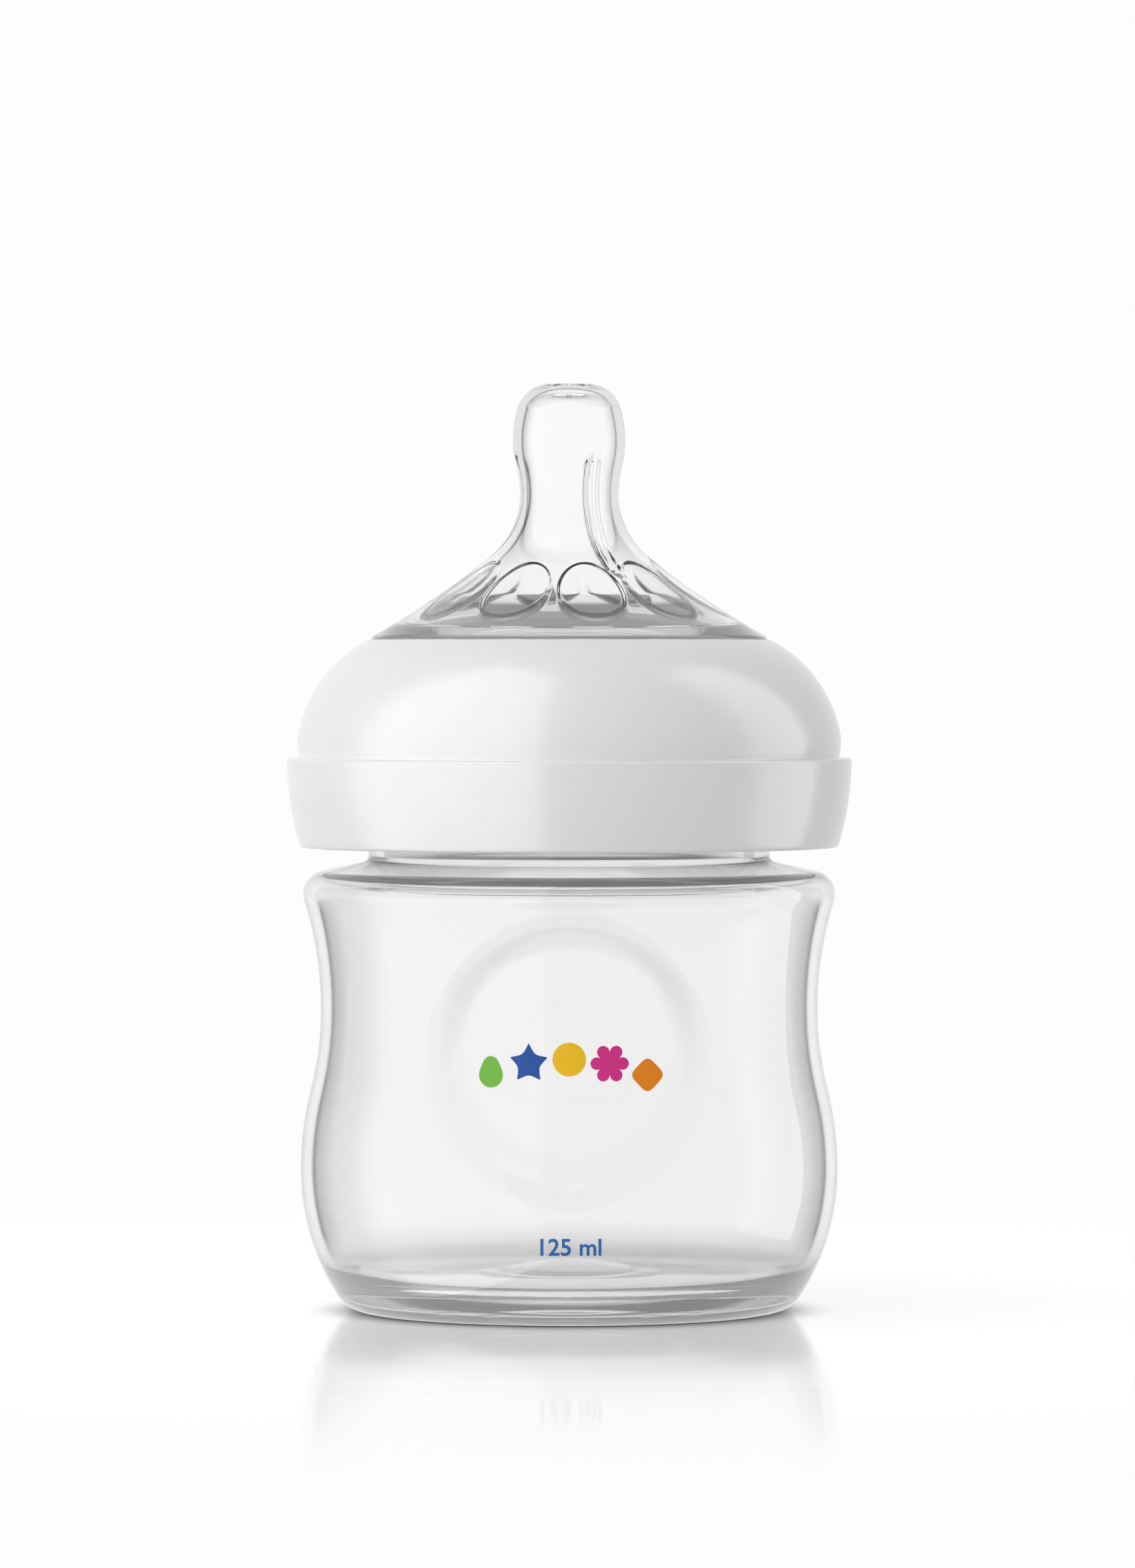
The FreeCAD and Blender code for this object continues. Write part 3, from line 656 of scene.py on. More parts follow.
@dataclass
class Bottle:
    """The clear bottle: waisted body, thumb recess front and back, threaded neck, printed marks.

    A pair that ends in from or to is a height and the reach over which something fades there.
    """

    bulge_radius: float = 33.35
    bulge_height: float = 17.5
    foot_arc: float = 29.0
    foot_round: float = 4.0
    waist_radius: float = 30.8
    waist_height: float = 37.4
    waist_arc: float = 44.0
    ease_reach: float = 3.2
    eased_from: Pair = (7.0, 6.0)
    eased_to: Pair = (50.0, 6.0)
    shoulder_height: float = 55.75
    shoulder_drop: float = 2.0
    shoulder_round: float = 2.9
    neck_radius: float = 24.9
    neck_wall: float = 1.9
    neck_fillet: float = 0.8
    bore_fillet: float = 1.3
    neck_rows: tuple[float, ...] = (66.0, 66.6, 78.2, 78.6)
    bore_rows: tuple[float, ...] = (77.0, 72.0, 60.0, 58.0)
    rim_height: float = 79.9
    rim_round: float = 0.7
    wall: float = 1.5
    punt_radius: float = 22.47
    punt_height: float = 1.5
    base_rings: Pair = (11.4, 7.7)
    base_ring_depth: float = 0.22
    base_ring_width: float = 0.3
    floor_height: float = 4.0
    floor_hump: float = 2.3
    hump_radius: float = 14.0
    floor_round: float = 4.0
    grip_radius: float = 17.3
    grip_flat: float = 14.2
    grip_height: float = 31.6
    grip_depth: float = 1.0
    grip_bend: float = 0.09
    grip_cut: float = -0.3
    grip_margin: float = 0.9
    grip_turn: float = 39.0
    thread: Thread = Thread(start=68.5, turns=1.25)
    thread_from: float = 62.0
    grey_from: Pair = (6.0, 4.0)
    grey_to: Pair = (53.0, 3.0)
    bore_grey_to: float = 76.0
    thin_from: Pair = (5.0, 4.0)
    thin_to: Pair = (55.0, 2.0)
    shoulder_from: float = 45.0
    shoulder_haze: float = 0.4
    ink_depth: float = 0.05
    ink_back: float = 0.2
    figure: str = "125 ml"
    figure_size: float = 2.9
    figure_bold: float = 0.05
    figure_height: float = 9.9
    plastic: ClearPolypropylene = field(default_factory=ClearPolypropylene)

    def side_radius(self, height: Array, inset: float) -> Array:
        """Give the body's radius at each height, with the joints of its arcs eased away.

        The mean of the arcs' radius over a few heights nearby; the reach of that mean fades to
        nothing towards the foot and the shoulder.

        Args:
            height: heights in millimetres.
            inset: distance in from the outer face.
        Returns:
            Radii in millimetres.
        """
        reach = self.ease_reach * rise(height, *self.eased_from) * fall(height, *self.eased_to)
        steps = np.linspace(-1, 1, 9).reshape((9,) + (1,) * np.ndim(height))
        weights = (1 - np.abs(steps)) / np.sum(1 - np.abs(steps))
        return np.sum(weights * self.arc_radius(height + reach * steps, inset), axis=0)

    def arc_radius(self, height: Array, inset: float) -> Array:
        """Give the radius of the body's arcs at each height, set in from the outside along the normal.

        Four circle arcs: foot, bulge, waist and the hollow above it. Setting in shrinks an arc
        that bulges and grows one that hollows, about the same centre.

        Args:
            height: heights in millimetres.
            inset: distance in from the outer face.
        Returns:
            Radii in millimetres.
        """
        narrowing = self.bulge_radius - self.waist_radius
        run = self.waist_height - self.bulge_height
        curve = (run ** 2 + narrowing ** 2) / (4 * narrowing)
        meet = self.bulge_height + (curve - inset) * run / (2 * curve)
        over_bulge, over_waist = height - self.bulge_height, height - self.waist_height
        foot = self.bulge_radius - self.foot_arc + half_chord(self.foot_arc - inset, over_bulge)
        bulge = self.bulge_radius - curve + half_chord(curve - inset, over_bulge)
        waist = self.waist_radius + curve - half_chord(curve + inset, over_waist)
        hollow = self.waist_radius + self.waist_arc - half_chord(self.waist_arc + inset, over_waist)
        return np.select([height < self.bulge_height, height < meet, height < self.waist_height],
                         [foot, bulge, waist], hollow)

    def shoulder(self) -> tuple[Array, Array, Array]:
        """Find the shoulder's rounding: a circle that touches the hollow side and the sloping top.

        Returns:
            Centre of the rounding, unit direction down the slope, and unit normal into the wall.
        """
        corner_height = self.shoulder_height - self.shoulder_drop
        corner = float(self.side_radius(np.array(corner_height), 0.0))
        slope = np.array([corner - self.neck_radius, -self.shoulder_drop])
        slope = slope / np.linalg.norm(slope)
        into = np.array([slope[1], -slope[0]])
        start = np.array([self.neck_radius, self.shoulder_height]) + self.shoulder_round * into
        hub = np.array([self.waist_radius + self.waist_arc, self.waist_height])
        reach = start - hub
        half = float(reach @ slope)
        gap = float(reach @ reach) - (self.waist_arc + self.shoulder_round) ** 2
        return start + (-half - math.sqrt(half ** 2 - gap)) * slope, slope, into

    def body_run(self, inset: float, edges: tuple[float, ...], counts: tuple[int, ...]) -> Array:
        """Draw the body's side in stretches.

        Args:
            inset: distance in from the outer face.
            edges: heights at which the stretches begin and end.
            counts: number of points in each stretch.
        Returns:
            Points as radius and height.
        """
        stretches = zip(edges[:-1], edges[1:], counts)
        height = np.concatenate([np.linspace(low, high, count) for low, high, count in stretches])
        return np.stack([self.side_radius(height, inset), height], axis=1)

    def contour(self) -> tuple[Array, Array]:
        """Draw the whole section from the base's centre, up the outside and down the inside.

        Returns:
            Points as radius and height, and each point's wall.
        """
        centre, slope, into = self.shoulder()
        hub = np.array([self.waist_radius + self.waist_arc, self.waist_height])
        toward = (hub - centre) / np.linalg.norm(hub - centre)
        side_angle = math.degrees(math.atan2(toward[1], toward[0]))
        top_angle = math.degrees(math.atan2(-into[1], -into[0]))
        side_top = float((centre + self.shoulder_round * toward)[1])
        inner_round = self.shoulder_round - self.wall
        inner_top = float((centre + inner_round * toward)[1])
        bore = self.neck_radius - self.neck_wall

        foot_hub = (self.bulge_radius - self.foot_arc, self.bulge_height)
        foot_out = foot_hub[0] + math.sqrt(
            (self.foot_arc - self.foot_round) ** 2 - (self.bulge_height - self.foot_round) ** 2)
        foot_angle = math.degrees(math.atan2(self.foot_round - foot_hub[1], foot_out - foot_hub[0]))
        foot_end = arc(foot_hub, self.foot_arc, foot_angle, foot_angle, 1)[0]
        floor_rise = self.floor_height + self.floor_round
        floor_out = foot_hub[0] + math.sqrt(
            (self.foot_arc - self.wall - self.floor_round) ** 2 - (self.bulge_height - floor_rise) ** 2)
        floor_angle = math.degrees(math.atan2(floor_rise - foot_hub[1], floor_out - foot_hub[0]))
        floor_end = arc(foot_hub, self.foot_arc - self.wall, floor_angle, floor_angle, 1)[0]

        # The rows of the base lie closer together across its two fine rings.
        outer_ring, inner_ring = self.base_rings
        beside = 2 * self.base_ring_width
        out = np.concatenate([[0.0], np.linspace(1.5, inner_ring - 1, 4),
                              np.linspace(inner_ring - beside, inner_ring + beside, 7),
                              np.linspace(outer_ring - beside, outer_ring + beside, 7),
                              np.linspace(outer_ring + 1.5, self.punt_radius, 7)])
        lift = self.punt_height * (1 - (out / self.punt_radius) ** 2)
        for ring in self.base_rings:
            lift = lift + self.base_ring_depth * np.exp(-((out - ring) / self.base_ring_width) ** 2)
        base = np.stack([out, lift], axis=1)
        low = self.grip_height - self.grip_radius - self.grip_margin
        high = self.grip_height + self.grip_radius + self.grip_margin
        slope_foot = centre - self.shoulder_round * into
        inner_foot = centre - inner_round * into
        neck_foot = inner_foot - slope * (inner_foot[0] - bore) / slope[0]
        across = np.linspace(floor_out, 0.0, 18)
        # Inside, the floor swells a little all over and more in its middle.
        middle = np.cos(rise(across, 0.0, self.hump_radius) * math.pi / 2) ** 2
        swell = self.floor_hump * (0.25 * (1 - (across / floor_out) ** 2) + 0.75 * middle)
        floor = np.stack([across, self.floor_height + swell], axis=1)
        neck, mouth = self.neck_radius, self.rim_height
        return join([
            (base, Wall.OTHER),
            (arc((foot_out, self.foot_round), self.foot_round, -90, foot_angle, 9), Wall.OTHER),
            (self.body_run(0.0, (float(foot_end[1]), low, high, side_top), (8, 90, 4)), Wall.OUTER),
            (arc((centre[0], centre[1]), self.shoulder_round, side_angle, top_angle, 9), Wall.OTHER),
            (rounded([(slope_foot[0], slope_foot[1], 0.0), (neck, self.shoulder_height, self.neck_fillet),
                      (neck, self.shoulder_height + 3, 0.0)]), Wall.OTHER),
            (line((neck, self.shoulder_height + 5), (neck, self.neck_rows[0]), 4), Wall.OTHER),
            (line((neck, self.neck_rows[1]), (neck, self.neck_rows[2]), 37), Wall.OTHER),
            (rounded([(neck, self.neck_rows[3], 0.0), (neck, mouth, self.rim_round),
                      (bore, mouth, self.rim_round), (bore, self.bore_rows[0], 0.0)], 5), Wall.OTHER),
            (line((bore, self.bore_rows[1]), (bore, self.bore_rows[2]), 3), Wall.OTHER),
            (rounded([(bore, self.bore_rows[3], 0.0), (bore, float(neck_foot[1]), self.bore_fillet),
                      (inner_foot[0], inner_foot[1], 0.0)], 6), Wall.OTHER),
            (arc((centre[0], centre[1]), inner_round, top_angle, side_angle, 7), Wall.OTHER),
            (self.body_run(self.wall, (inner_top, high, low, float(floor_end[1])), (4, 74, 6)), Wall.INNER),
            (arc((floor_out, floor_rise), self.floor_round, floor_angle, -90, 8), Wall.OTHER),
            (floor, Wall.OTHER),
        ])

    def recess(self, away: Array) -> Array:
        """Give a thumb recess's depth: a round dish with a sloping rim that follows the body's curve.

        Args:
            away: distance from the recess's middle, seen from the front.
        Returns:
            Depth in millimetres.
        """
        rim = (self.grip_radius - away) / (self.grip_radius - self.grip_flat)
        return np.where(rim > self.grip_cut, self.grip_depth * ramp(rim, self.grip_bend), 0)

    def angles(self) -> Array:
        """Space the angles closer together over the two recesses than on the sides.

        Returns:
            Angles in radians, rising.
        """
        front = np.linspace(-90 - self.grip_turn, -90 + self.grip_turn, 90, endpoint=False)
        right = np.linspace(-90 + self.grip_turn, 90 - self.grip_turn, 62, endpoint=False)
        return np.radians(np.concatenate([front, right, front + 180, right + 180]))

    def make_body(self) -> bpy.types.Object:
        """Make the bottle itself, with its recesses set in and its thread raised.

        Returns:
            The new object.
        """
        points, walls = self.contour()
        angle = self.angles()
        radius = np.repeat(points[:, :1], len(angle), axis=1)
        height = np.repeat(points[:, 1:], len(angle), axis=1)
        away = np.hypot(radius * np.cos(angle), height - self.grip_height)
        body = (walls != Wall.OTHER.value)[:, None]
        radius = np.where(body, radius - self.recess(away), radius)
        up = points[:, 1]
        neck = (points[:, 0] == self.neck_radius) & (up > self.thread_from)
        radius = np.where(neck[:, None], radius + self.thread.raised(height, angle), radius)
        # Painted shade on the recess's rim: greyest in the middle of its slope, and more so in its upper
        # half.
        slope = np.sin(math.pi * rise(away, self.grip_flat, self.grip_radius - self.grip_flat)) ** 0.5
        upper = np.clip(0.5 + (height - self.grip_height) / self.grip_radius, 0.4, 1)
        # Foot and shoulder are thick, so the painted grey shade of the edges ends before them and haze sets
        # in.
        grey = rise(up, *self.grey_from) * fall(up, *self.grey_to)
        bore = (points[:, 0] == self.neck_radius - self.neck_wall) & (up < self.bore_grey_to)
        thick = 1 - rise(up, *self.thin_from) * fall(up, *self.thin_to)
        haze = np.where(walls == Wall.OTHER.value, 1, thick)
        haze = haze * np.where(up > self.shoulder_from, self.shoulder_haze, 1)
        outer = walls == Wall.OUTER.value
        marks = {"grip_rim": np.where(outer[:, None], upper * slope, 0),
                 "inner_wall": np.where(walls == Wall.INNER.value, grey, bore)[:, None],
                 "outer_wall": np.where(outer, grey, 0)[:, None],
                 "thick_wall": haze[:, None]}
        made = revolve("bottle_body", radius, height, angle, Ends.POLES, marks)
        made.data.materials.append(self.plastic.material())
        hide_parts("bottle")
        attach(made, "bottle")
        return made

    def on_front(self, across: Array, height: Array, raised: Array, sunk: float) -> Array:
        """Lay flat points on the front of the body.

        The sideways distance becomes a turn about the axis, and the radius is the body's own.

        Args:
            across: distance to the right, in millimetres.
            height: heights above the base.
            raised: distance out from the surface.
            sunk: depth of the recess at that place.
        Returns:
            Places in metres.
        """
        radius = self.side_radius(height, 0.0) - sunk
        turn = across / radius - math.pi / 2
        radius = radius + raised
        return np.stack([radius * np.cos(turn), radius * np.sin(turn), height], axis=-1) * MM

    def make_mark(self, name: str, motif: Motif, middle: Point, size: float,
                  ink: PrintingInk) -> bpy.types.Object:
        """Print one small shape in the front recess, as a thin closed layer of ink.

        A share of the outline's distance, run out and back, and a turn are the two parameters.

        Args:
            name: plain name of the piece.
            motif: which shape.
            middle: its place across and up, in millimetres.
            size: half its width.
            ink: finish.
        Returns:
            The new object.
        """
        turn = np.linspace(0, 2 * math.pi, 96, endpoint=False)
        out = [0.0, 0.35, 0.7, 1.0]
        share = np.array(out + out[::-1])[:, None]
        raised = np.repeat([1.0, self.ink_back], len(out))[:, None] * self.ink_depth
        reach = size * motif.outline(turn)[None, :] * share
        places = self.on_front(middle[0] + reach * np.cos(turn), middle[1] + reach * np.sin(turn),
                               np.repeat(raised, len(turn), axis=1), self.grip_depth)
        made, _ = grid_object(name, places, Ends.POLES, flip=True)
        made.data.polygons.foreach_set("use_smooth", np.zeros(len(made.data.polygons), dtype=bool))
        made.data.materials.append(ink.material())
        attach(made, "bottle")
        return made

    def make_marks(self) -> list[bpy.types.Object]:
        """Print the row of small shapes.

        Returns:
            The new objects.
        """
        blue = PrintingInk("ink_blue_printed", "#1F4E9E")
        green = PrintingInk("ink_green_printed", "#6FB53B")
        yellow = PrintingInk("ink_yellow_printed", "#F4C21F")
        pink = PrintingInk("ink_pink_printed", "#D8348A")
        orange = PrintingInk("ink_orange_printed", "#F08A1E")
        row = [("mark_drop", Motif.DROP, (-9.6, 30.6), 2.1, green),
               ("mark_star", Motif.STAR, (-4.9, 32.0), 2.3, blue),
               ("mark_disc", Motif.DISC, (0.0, 32.5), 2.2, yellow),
               ("mark_flower", Motif.FLOWER, (4.9, 32.0), 2.3, pink),
               ("mark_tile", Motif.TILE, (9.6, 30.6), 1.9, orange)]
        return [self.make_mark(*one) for one in row]

    def make_volume_mark(self) -> bpy.types.Object:
        """Print the plain volume figure low on the front.

        Text is made a mesh first; its flat places are then laid on the body.

        Returns:
            The new object.
        """
        curve = bpy.data.curves.new("volume_text", "FONT")
        curve.body = self.figure
        curve.size = self.figure_size
        curve.offset = self.figure_bold
        curve.align_x = "CENTER"
        curve.align_y = "CENTER"
        # This depth only tells front from back; the ink's own depth follows below.
        curve.extrude = 0.5
        flat = bpy.data.objects.new("volume_text", curve)
        mesh = bpy.data.meshes.new_from_object(flat)
        bpy.data.objects.remove(flat)
        bpy.data.curves.remove(curve)
        at = np.zeros(len(mesh.vertices) * 3, dtype=np.float32)
        mesh.vertices.foreach_get("co", at)
        at = at.reshape(-1, 3)
        raised = np.where(at[:, 2] > 0, 1.0, self.ink_back) * self.ink_depth
        places = self.on_front(at[:, 0], self.figure_height + at[:, 1], raised, 0.0)
        mesh.vertices.foreach_set("co", places.astype(np.float32).ravel())
        mesh.update()
        mesh.name = "volume_mark"
        mesh.materials.clear()
        mesh.materials.append(PrintingInk("ink_light_blue_printed", "#2F6FB4").material())
        made = bpy.data.objects.new("volume_mark", mesh)
        bpy.context.scene.collection.objects.link(made)
        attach(made, "bottle")
        return made

    def build(self) -> list[bpy.types.Object]:
        """Make the bottle and everything printed on it."""
        return [self.make_body(), *self.make_marks(), self.make_volume_mark()]


@dataclass
class ScrewRing:
    """The white ring: domed wall over a wider band, threaded sleeve, inward lip that holds the teat."""

    band_radius: float = 35.03
    band_arc: float = 37.5
    band_foot: float = 57.4
    ledge_height: float = 68.45
    dome_foot: float = 33.45
    side_hub: Point = (26.73, 70.4)
    side_round: float = 7.0
    blend: float = 12.0
    dome_arc: float = 16.46
    dome_top: float = 83.2
    rebate_radius: float = 24.75
    lip_radius: float = 23.5
    lip_top: float = 82.95
    lip_foot: float = 81.5
    sleeve_bore: float = 26.6
    sleeve_radius: float = 28.2
    sleeve_foot: float = 58.2
    band_bore: float = 31.47
    roof: float = 2.2
    foot_round: float = 0.5
    ledge_round: float = 0.32
    crown_round: float = 0.12
    rebate_round: float = 0.06
    lip_round: float = 0.25
    seat_round: float = 0.3
    sleeve_round: float = 0.4
    bore_round: float = 0.3
    upper_rows: tuple[float, ...] = (80.5, 78.0, 75.2)
    thread_rows: Pair = (74.6, 64.6)
    lower_rows: tuple[float, ...] = (63.5, 60.0, 68.0, 69.5)
    thread: Thread = Thread(start=66.6, turns=1.1)
    lit_to: Pair = (72.0, 6.0)
    plastic: WhitePolypropylene = field(default_factory=WhitePolypropylene)

    def contour(self) -> tuple[Array, Array]:
        """Draw the section as a loop, up the outside and down the inside.

        Returns:
            Points as radius and height, and each point's wall.
        """
        band_hub = (self.band_radius - self.band_arc, self.ledge_height)
        start = -math.degrees(math.asin((self.ledge_height - self.band_foot) / self.band_arc))
        band = arc(band_hub, self.band_arc, start + 1.0, -1.2, 20)
        foot = arc(band_hub, self.band_arc, start, start, 1)[0]
        side_foot = -math.degrees(math.asin((self.side_hub[1] - self.ledge_height) / self.side_round))
        side = arc(self.side_hub, self.side_round, side_foot, self.blend, 14)
        turn = math.radians(self.blend)
        dome_hub = (self.side_hub[0] + (self.side_round - self.dome_arc) * math.cos(turn),
                    self.side_hub[1] + (self.side_round - self.dome_arc) * math.sin(turn))
        end = math.degrees(math.asin((self.dome_top - dome_hub[1]) / self.dome_arc))
        dome = arc(dome_hub, self.dome_arc, self.blend, end - 1.2, 44)
        crown = arc(dome_hub, self.dome_arc, end, end, 1)[0]
        inner = self.dome_arc - self.roof
        roof = arc(dome_hub, inner, math.degrees(math.acos((self.sleeve_radius - dome_hub[0]) / inner)),
                   math.degrees(math.acos((self.band_bore - dome_hub[0]) / inner)), 12)
        ledge, bore, sleeve = self.ledge_height, self.sleeve_bore, self.sleeve_radius
        return join([
            (rounded([(self.band_bore + 0.8, self.band_foot, 0.0), (foot[0], foot[1], self.foot_round),
                      (band[0, 0], band[0, 1], 0.0)], 6), Wall.OUTER),
            (band, Wall.OUTER),
            (rounded([(band[-1, 0], band[-1, 1], 0.0), (self.band_radius, ledge, self.ledge_round),
                      (self.dome_foot + 0.3, ledge, 0.0)], 7), Wall.OUTER),
            (line((self.dome_foot + 0.12, ledge + 0.02), (side[1, 0], side[1, 1]), 2), Wall.OUTER),
            (side[1:], Wall.OUTER),
            (dome, Wall.OUTER),
            (rounded([(dome[-1, 0], dome[-1, 1], 0.0), (crown[0], crown[1], self.crown_round),
                      (self.rebate_radius, self.lip_top, self.rebate_round),
                      (self.lip_radius, self.lip_top, self.lip_round),
                      (self.lip_radius, self.lip_foot, self.lip_round),
                      (bore, self.lip_foot, self.seat_round),
                      (bore, self.upper_rows[0], 0.0)], 4), Wall.OTHER),
            (line((bore, self.upper_rows[1]), (bore, self.upper_rows[2]), 3), Wall.OTHER),
            (line((bore, self.thread_rows[0]), (bore, self.thread_rows[1]), 34), Wall.INNER),
            (rounded([(bore, self.lower_rows[0], 0.0), (bore, self.sleeve_foot, self.sleeve_round),
                      (sleeve, self.sleeve_foot, self.sleeve_round),
                      (sleeve, self.lower_rows[1], 0.0)], 4), Wall.OTHER),
            (line((sleeve, self.lower_rows[2]), (sleeve, float(roof[0, 1]) - 0.5), 3), Wall.OTHER),
            (roof, Wall.OTHER),
            (rounded([(self.band_bore, self.lower_rows[3], 0.0),
                      (self.band_bore, self.band_foot, self.bore_round),
                      (self.band_bore + 0.6, self.band_foot, 0.0)], 4), Wall.OTHER),
        ])

    def build(self) -> list[bpy.types.Object]:
        """Make the ring, with its thread raised inwards.

        Returns:
            The new object, as a list.
        """
        points, walls = self.contour()
        angle = np.linspace(0, 2 * math.pi, 320, endpoint=False)
        radius = np.repeat(points[:, :1], len(angle), axis=1)
        height = np.repeat(points[:, 1:], len(angle), axis=1)
        threaded = (walls == Wall.INNER.value)[:, None]
        radius = np.where(threaded, radius - self.thread.raised(height, angle), radius)
        # Painted glow: low inside the ring, round the bottle's neck, the inner faces give off light in
        # place of light that comes through the wall.
        inside = np.where(walls == Wall.OUTER.value, 0, fall(points[:, 1], *self.lit_to))
        made = revolve("ring_shell", radius, height, angle, Ends.LOOP, {"inside": inside[:, None]})
        made.data.materials.append(self.plastic.material())
        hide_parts("screw_ring")
        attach(made, "ring")
        return [made]


@dataclass
class Teat:
    """The clear teat: dished tip, bulb, waist, flared skirt with petals inside, collar in the ring.

    A pair that ends in from is a place and the reach over which something fades in there.
    """

    tip_hub: Point = (2.507, 110.8)
    tip_round: float = 4.0
    tip_top: float = 114.8
    dish_radius: float = 2.45
    dish_rows: tuple[float, ...] = (2.39, 2.2)
    dish_depth: float = 0.5
    tip_blend: float = 17.5
    side_arc: float = 14.0
    bulb_radius: float = 6.97
    bulb_height: float = 107.79
    waist_radius: float = 6.13
    waist_height: float = 101.19
    flare_arc: float = 10.0
    skirt_turn: float = 4.9
    inner_turn: float = 2.2
    lip: Point = (24.6, 83.45)
    lip_foot: float = 83.0
    snap_radius: float = 23.3
    flange_radius: float = 26.0
    flange_foot: float = 79.9
    flange_top: float = 81.5
    bore: float = 20.6
    bore_top: float = 83.5
    wall: float = 1.1
    groove_count: int = 3
    groove_half: float = 0.85
    groove_depth: float = 0.34
    groove_flank: float = 0.38
    groove_bend: float = 0.12
    rib_depth: float = 0.3
    groove_low: float = 91.8
    groove_high: float = 104.9
    petal_count: int = 10
    petal_middle: float = 14.4
    petal_half_length: float = 6.3
    petal_half_width: float = 4.1
    petal_depth: float = 0.55
    petal_rim: float = 0.1
    petal_bend: float = 0.15
    cut: float = 1.1
    petal_egg: float = 0.16
    petal_top_depth: float = 0.35
    petal_turn: float = 18.0
    petal_foot_from: Pair = (0.34, 0.12)
    turn: float = -61.6
    hole_radius: float = 0.25
    hole_offset: float = 0.8
    hole_depth: float = 0.3
    hole_edge: Pair = (1.3, 1.0)
    collar_rows: Pair = (80.6, 80.4)
    collar_round: float = 0.15
    flange_round: float = 0.4
    snap_round: float = 0.2
    skirt_top: float = 96.0
    tip_from: float = 112.0
    inner_grey_from: Pair = (91.0, 5.0)
    outer_grey_from: Pair = (92.0, 5.0)
    clear_from: Pair = (85.0, 3.0)
    silicone: ClearSilicone = field(default_factory=ClearSilicone)

    def skirt(self, inset: float, target: Point, turn: float, count: int) -> tuple[float, Array]:
        """Find where the flare hands over to the skirt, and draw the skirt.

        The flare ends where its tangent makes the given angle with the chord to the skirt's foot;
        the skirt is the circle arc on that chord.

        Args:
            inset: distance in from the outer face.
            target: foot of the skirt.
            turn: angle between tangent and chord, in degrees.
            count: points on the skirt.
        Returns:
            Flare's angle in degrees, and the skirt's points from the flare down.
        """
        hub = np.array([self.waist_radius + self.flare_arc, self.waist_height])
        radius = self.flare_arc + inset
        to_foot = np.array(target) - hub
        reach = float(np.linalg.norm(to_foot))
        below = math.atan2(-to_foot[1], to_foot[0])
        bend = math.radians(turn)
        flare = math.acos(-radius * math.cos(bend) / reach) - bend - below
        start = hub - radius * np.array([math.cos(flare), math.sin(flare)])
        chord = float(np.linalg.norm(np.array(target) - start))
        sweep = chord / (2 * math.sin(bend))
        centre = start + sweep * np.array([math.cos(flare), math.sin(flare)])
        first = 180 + math.degrees(flare)
        return math.degrees(flare), arc((centre[0], centre[1]), sweep, first, first + 2 * turn, count)

    def upper(self, inset: float, target: Point, turn: float, counts: tuple[int, ...]) -> Array:
        """Draw tip, bulb, waist, flare and skirt from the tip's round down to the skirt's foot.

        Args:
            inset: distance in from the outer face.
            target: foot of the skirt.
            turn: angle between the flare's end and the skirt's chord, in degrees.
            counts: points on the tip, side, both curves of the waist, flare and skirt.
        Returns:
            Points as radius and height.
        """
        narrowing = self.bulb_radius - self.waist_radius
        run = self.bulb_height - self.waist_height
        curve = (run ** 2 + narrowing ** 2) / (4 * narrowing)
        bend = math.degrees(math.asin(run / 2 / curve))
        flare, skirt = self.skirt(inset, target, turn, counts[5])
        return np.concatenate([
            arc(self.tip_hub, self.tip_round - inset, 90, self.tip_blend, counts[0]),
            arc((self.bulb_radius - self.side_arc, self.bulb_height), self.side_arc - inset,
                self.tip_blend, 0, counts[1]),
            arc((self.bulb_radius - curve, self.bulb_height), curve - inset, 0, -bend, counts[2]),
            arc((self.waist_radius + curve, self.waist_height), curve + inset, 180 - bend, 180, counts[3]),
            arc((self.waist_radius + self.flare_arc, self.waist_height), self.flare_arc + inset,
                180, 180 + flare, counts[4]),
            skirt,
        ])

    def contour(self) -> tuple[Array, Array]:
        """Draw the whole section from the inside of the tip, down the inside and up the outside.

        Returns:
            Points as radius and height, and each point's wall.
        """
        ceiling = self.tip_top - self.wall
        inner = self.upper(self.wall, (self.bore, self.bore_top), self.inner_turn, (9, 7, 9, 10, 18, 60))
        outer = self.upper(0.0, self.lip, self.skirt_turn, (12, 9, 16, 12, 20, 34))[::-1]
        # The rows of the tip lie closer together across the two flow holes.
        hole = np.concatenate([np.linspace(0.45, 1.15, 9), [1.5, 2.0]])
        dish = np.concatenate([self.dish_rows, hole[::-1], [0.2, 0.0]])
        bowl = self.tip_top - self.dish_depth * (1 - (dish / self.dish_radius) ** 2)
        bowl = np.stack([dish, bowl], axis=1)
        roof = np.stack([np.concatenate([[0.0, 0.2], hole]), np.full(len(hole) + 2, ceiling)], axis=1)
        collar = rounded([
            (self.bore - 0.3, self.bore_top + 0.25, 0.0), (self.bore, self.bore_top, self.collar_round),
            (self.bore, self.collar_rows[0], 0.0)], 4)
        flange = rounded([
            (self.bore, self.collar_rows[1], 0.0), (self.bore, self.flange_foot, self.collar_round),
            (self.flange_radius, self.flange_foot, self.flange_round),
            (self.flange_radius, self.flange_top, self.flange_round),
            (self.snap_radius, self.flange_top, self.snap_round),
            (self.snap_radius, self.lip_foot, self.collar_round),
            (self.lip[0] + 0.05, self.lip_foot, self.collar_round),
            (outer[1, 0] + 0.25, outer[1, 1] - 0.12, 0.0)], 4)
        return join([(roof, Wall.OTHER), (inner[:-1], Wall.INNER), (collar, Wall.OTHER),
                     (flange, Wall.OTHER), (outer[1:], Wall.OUTER), (bowl, Wall.OTHER)])

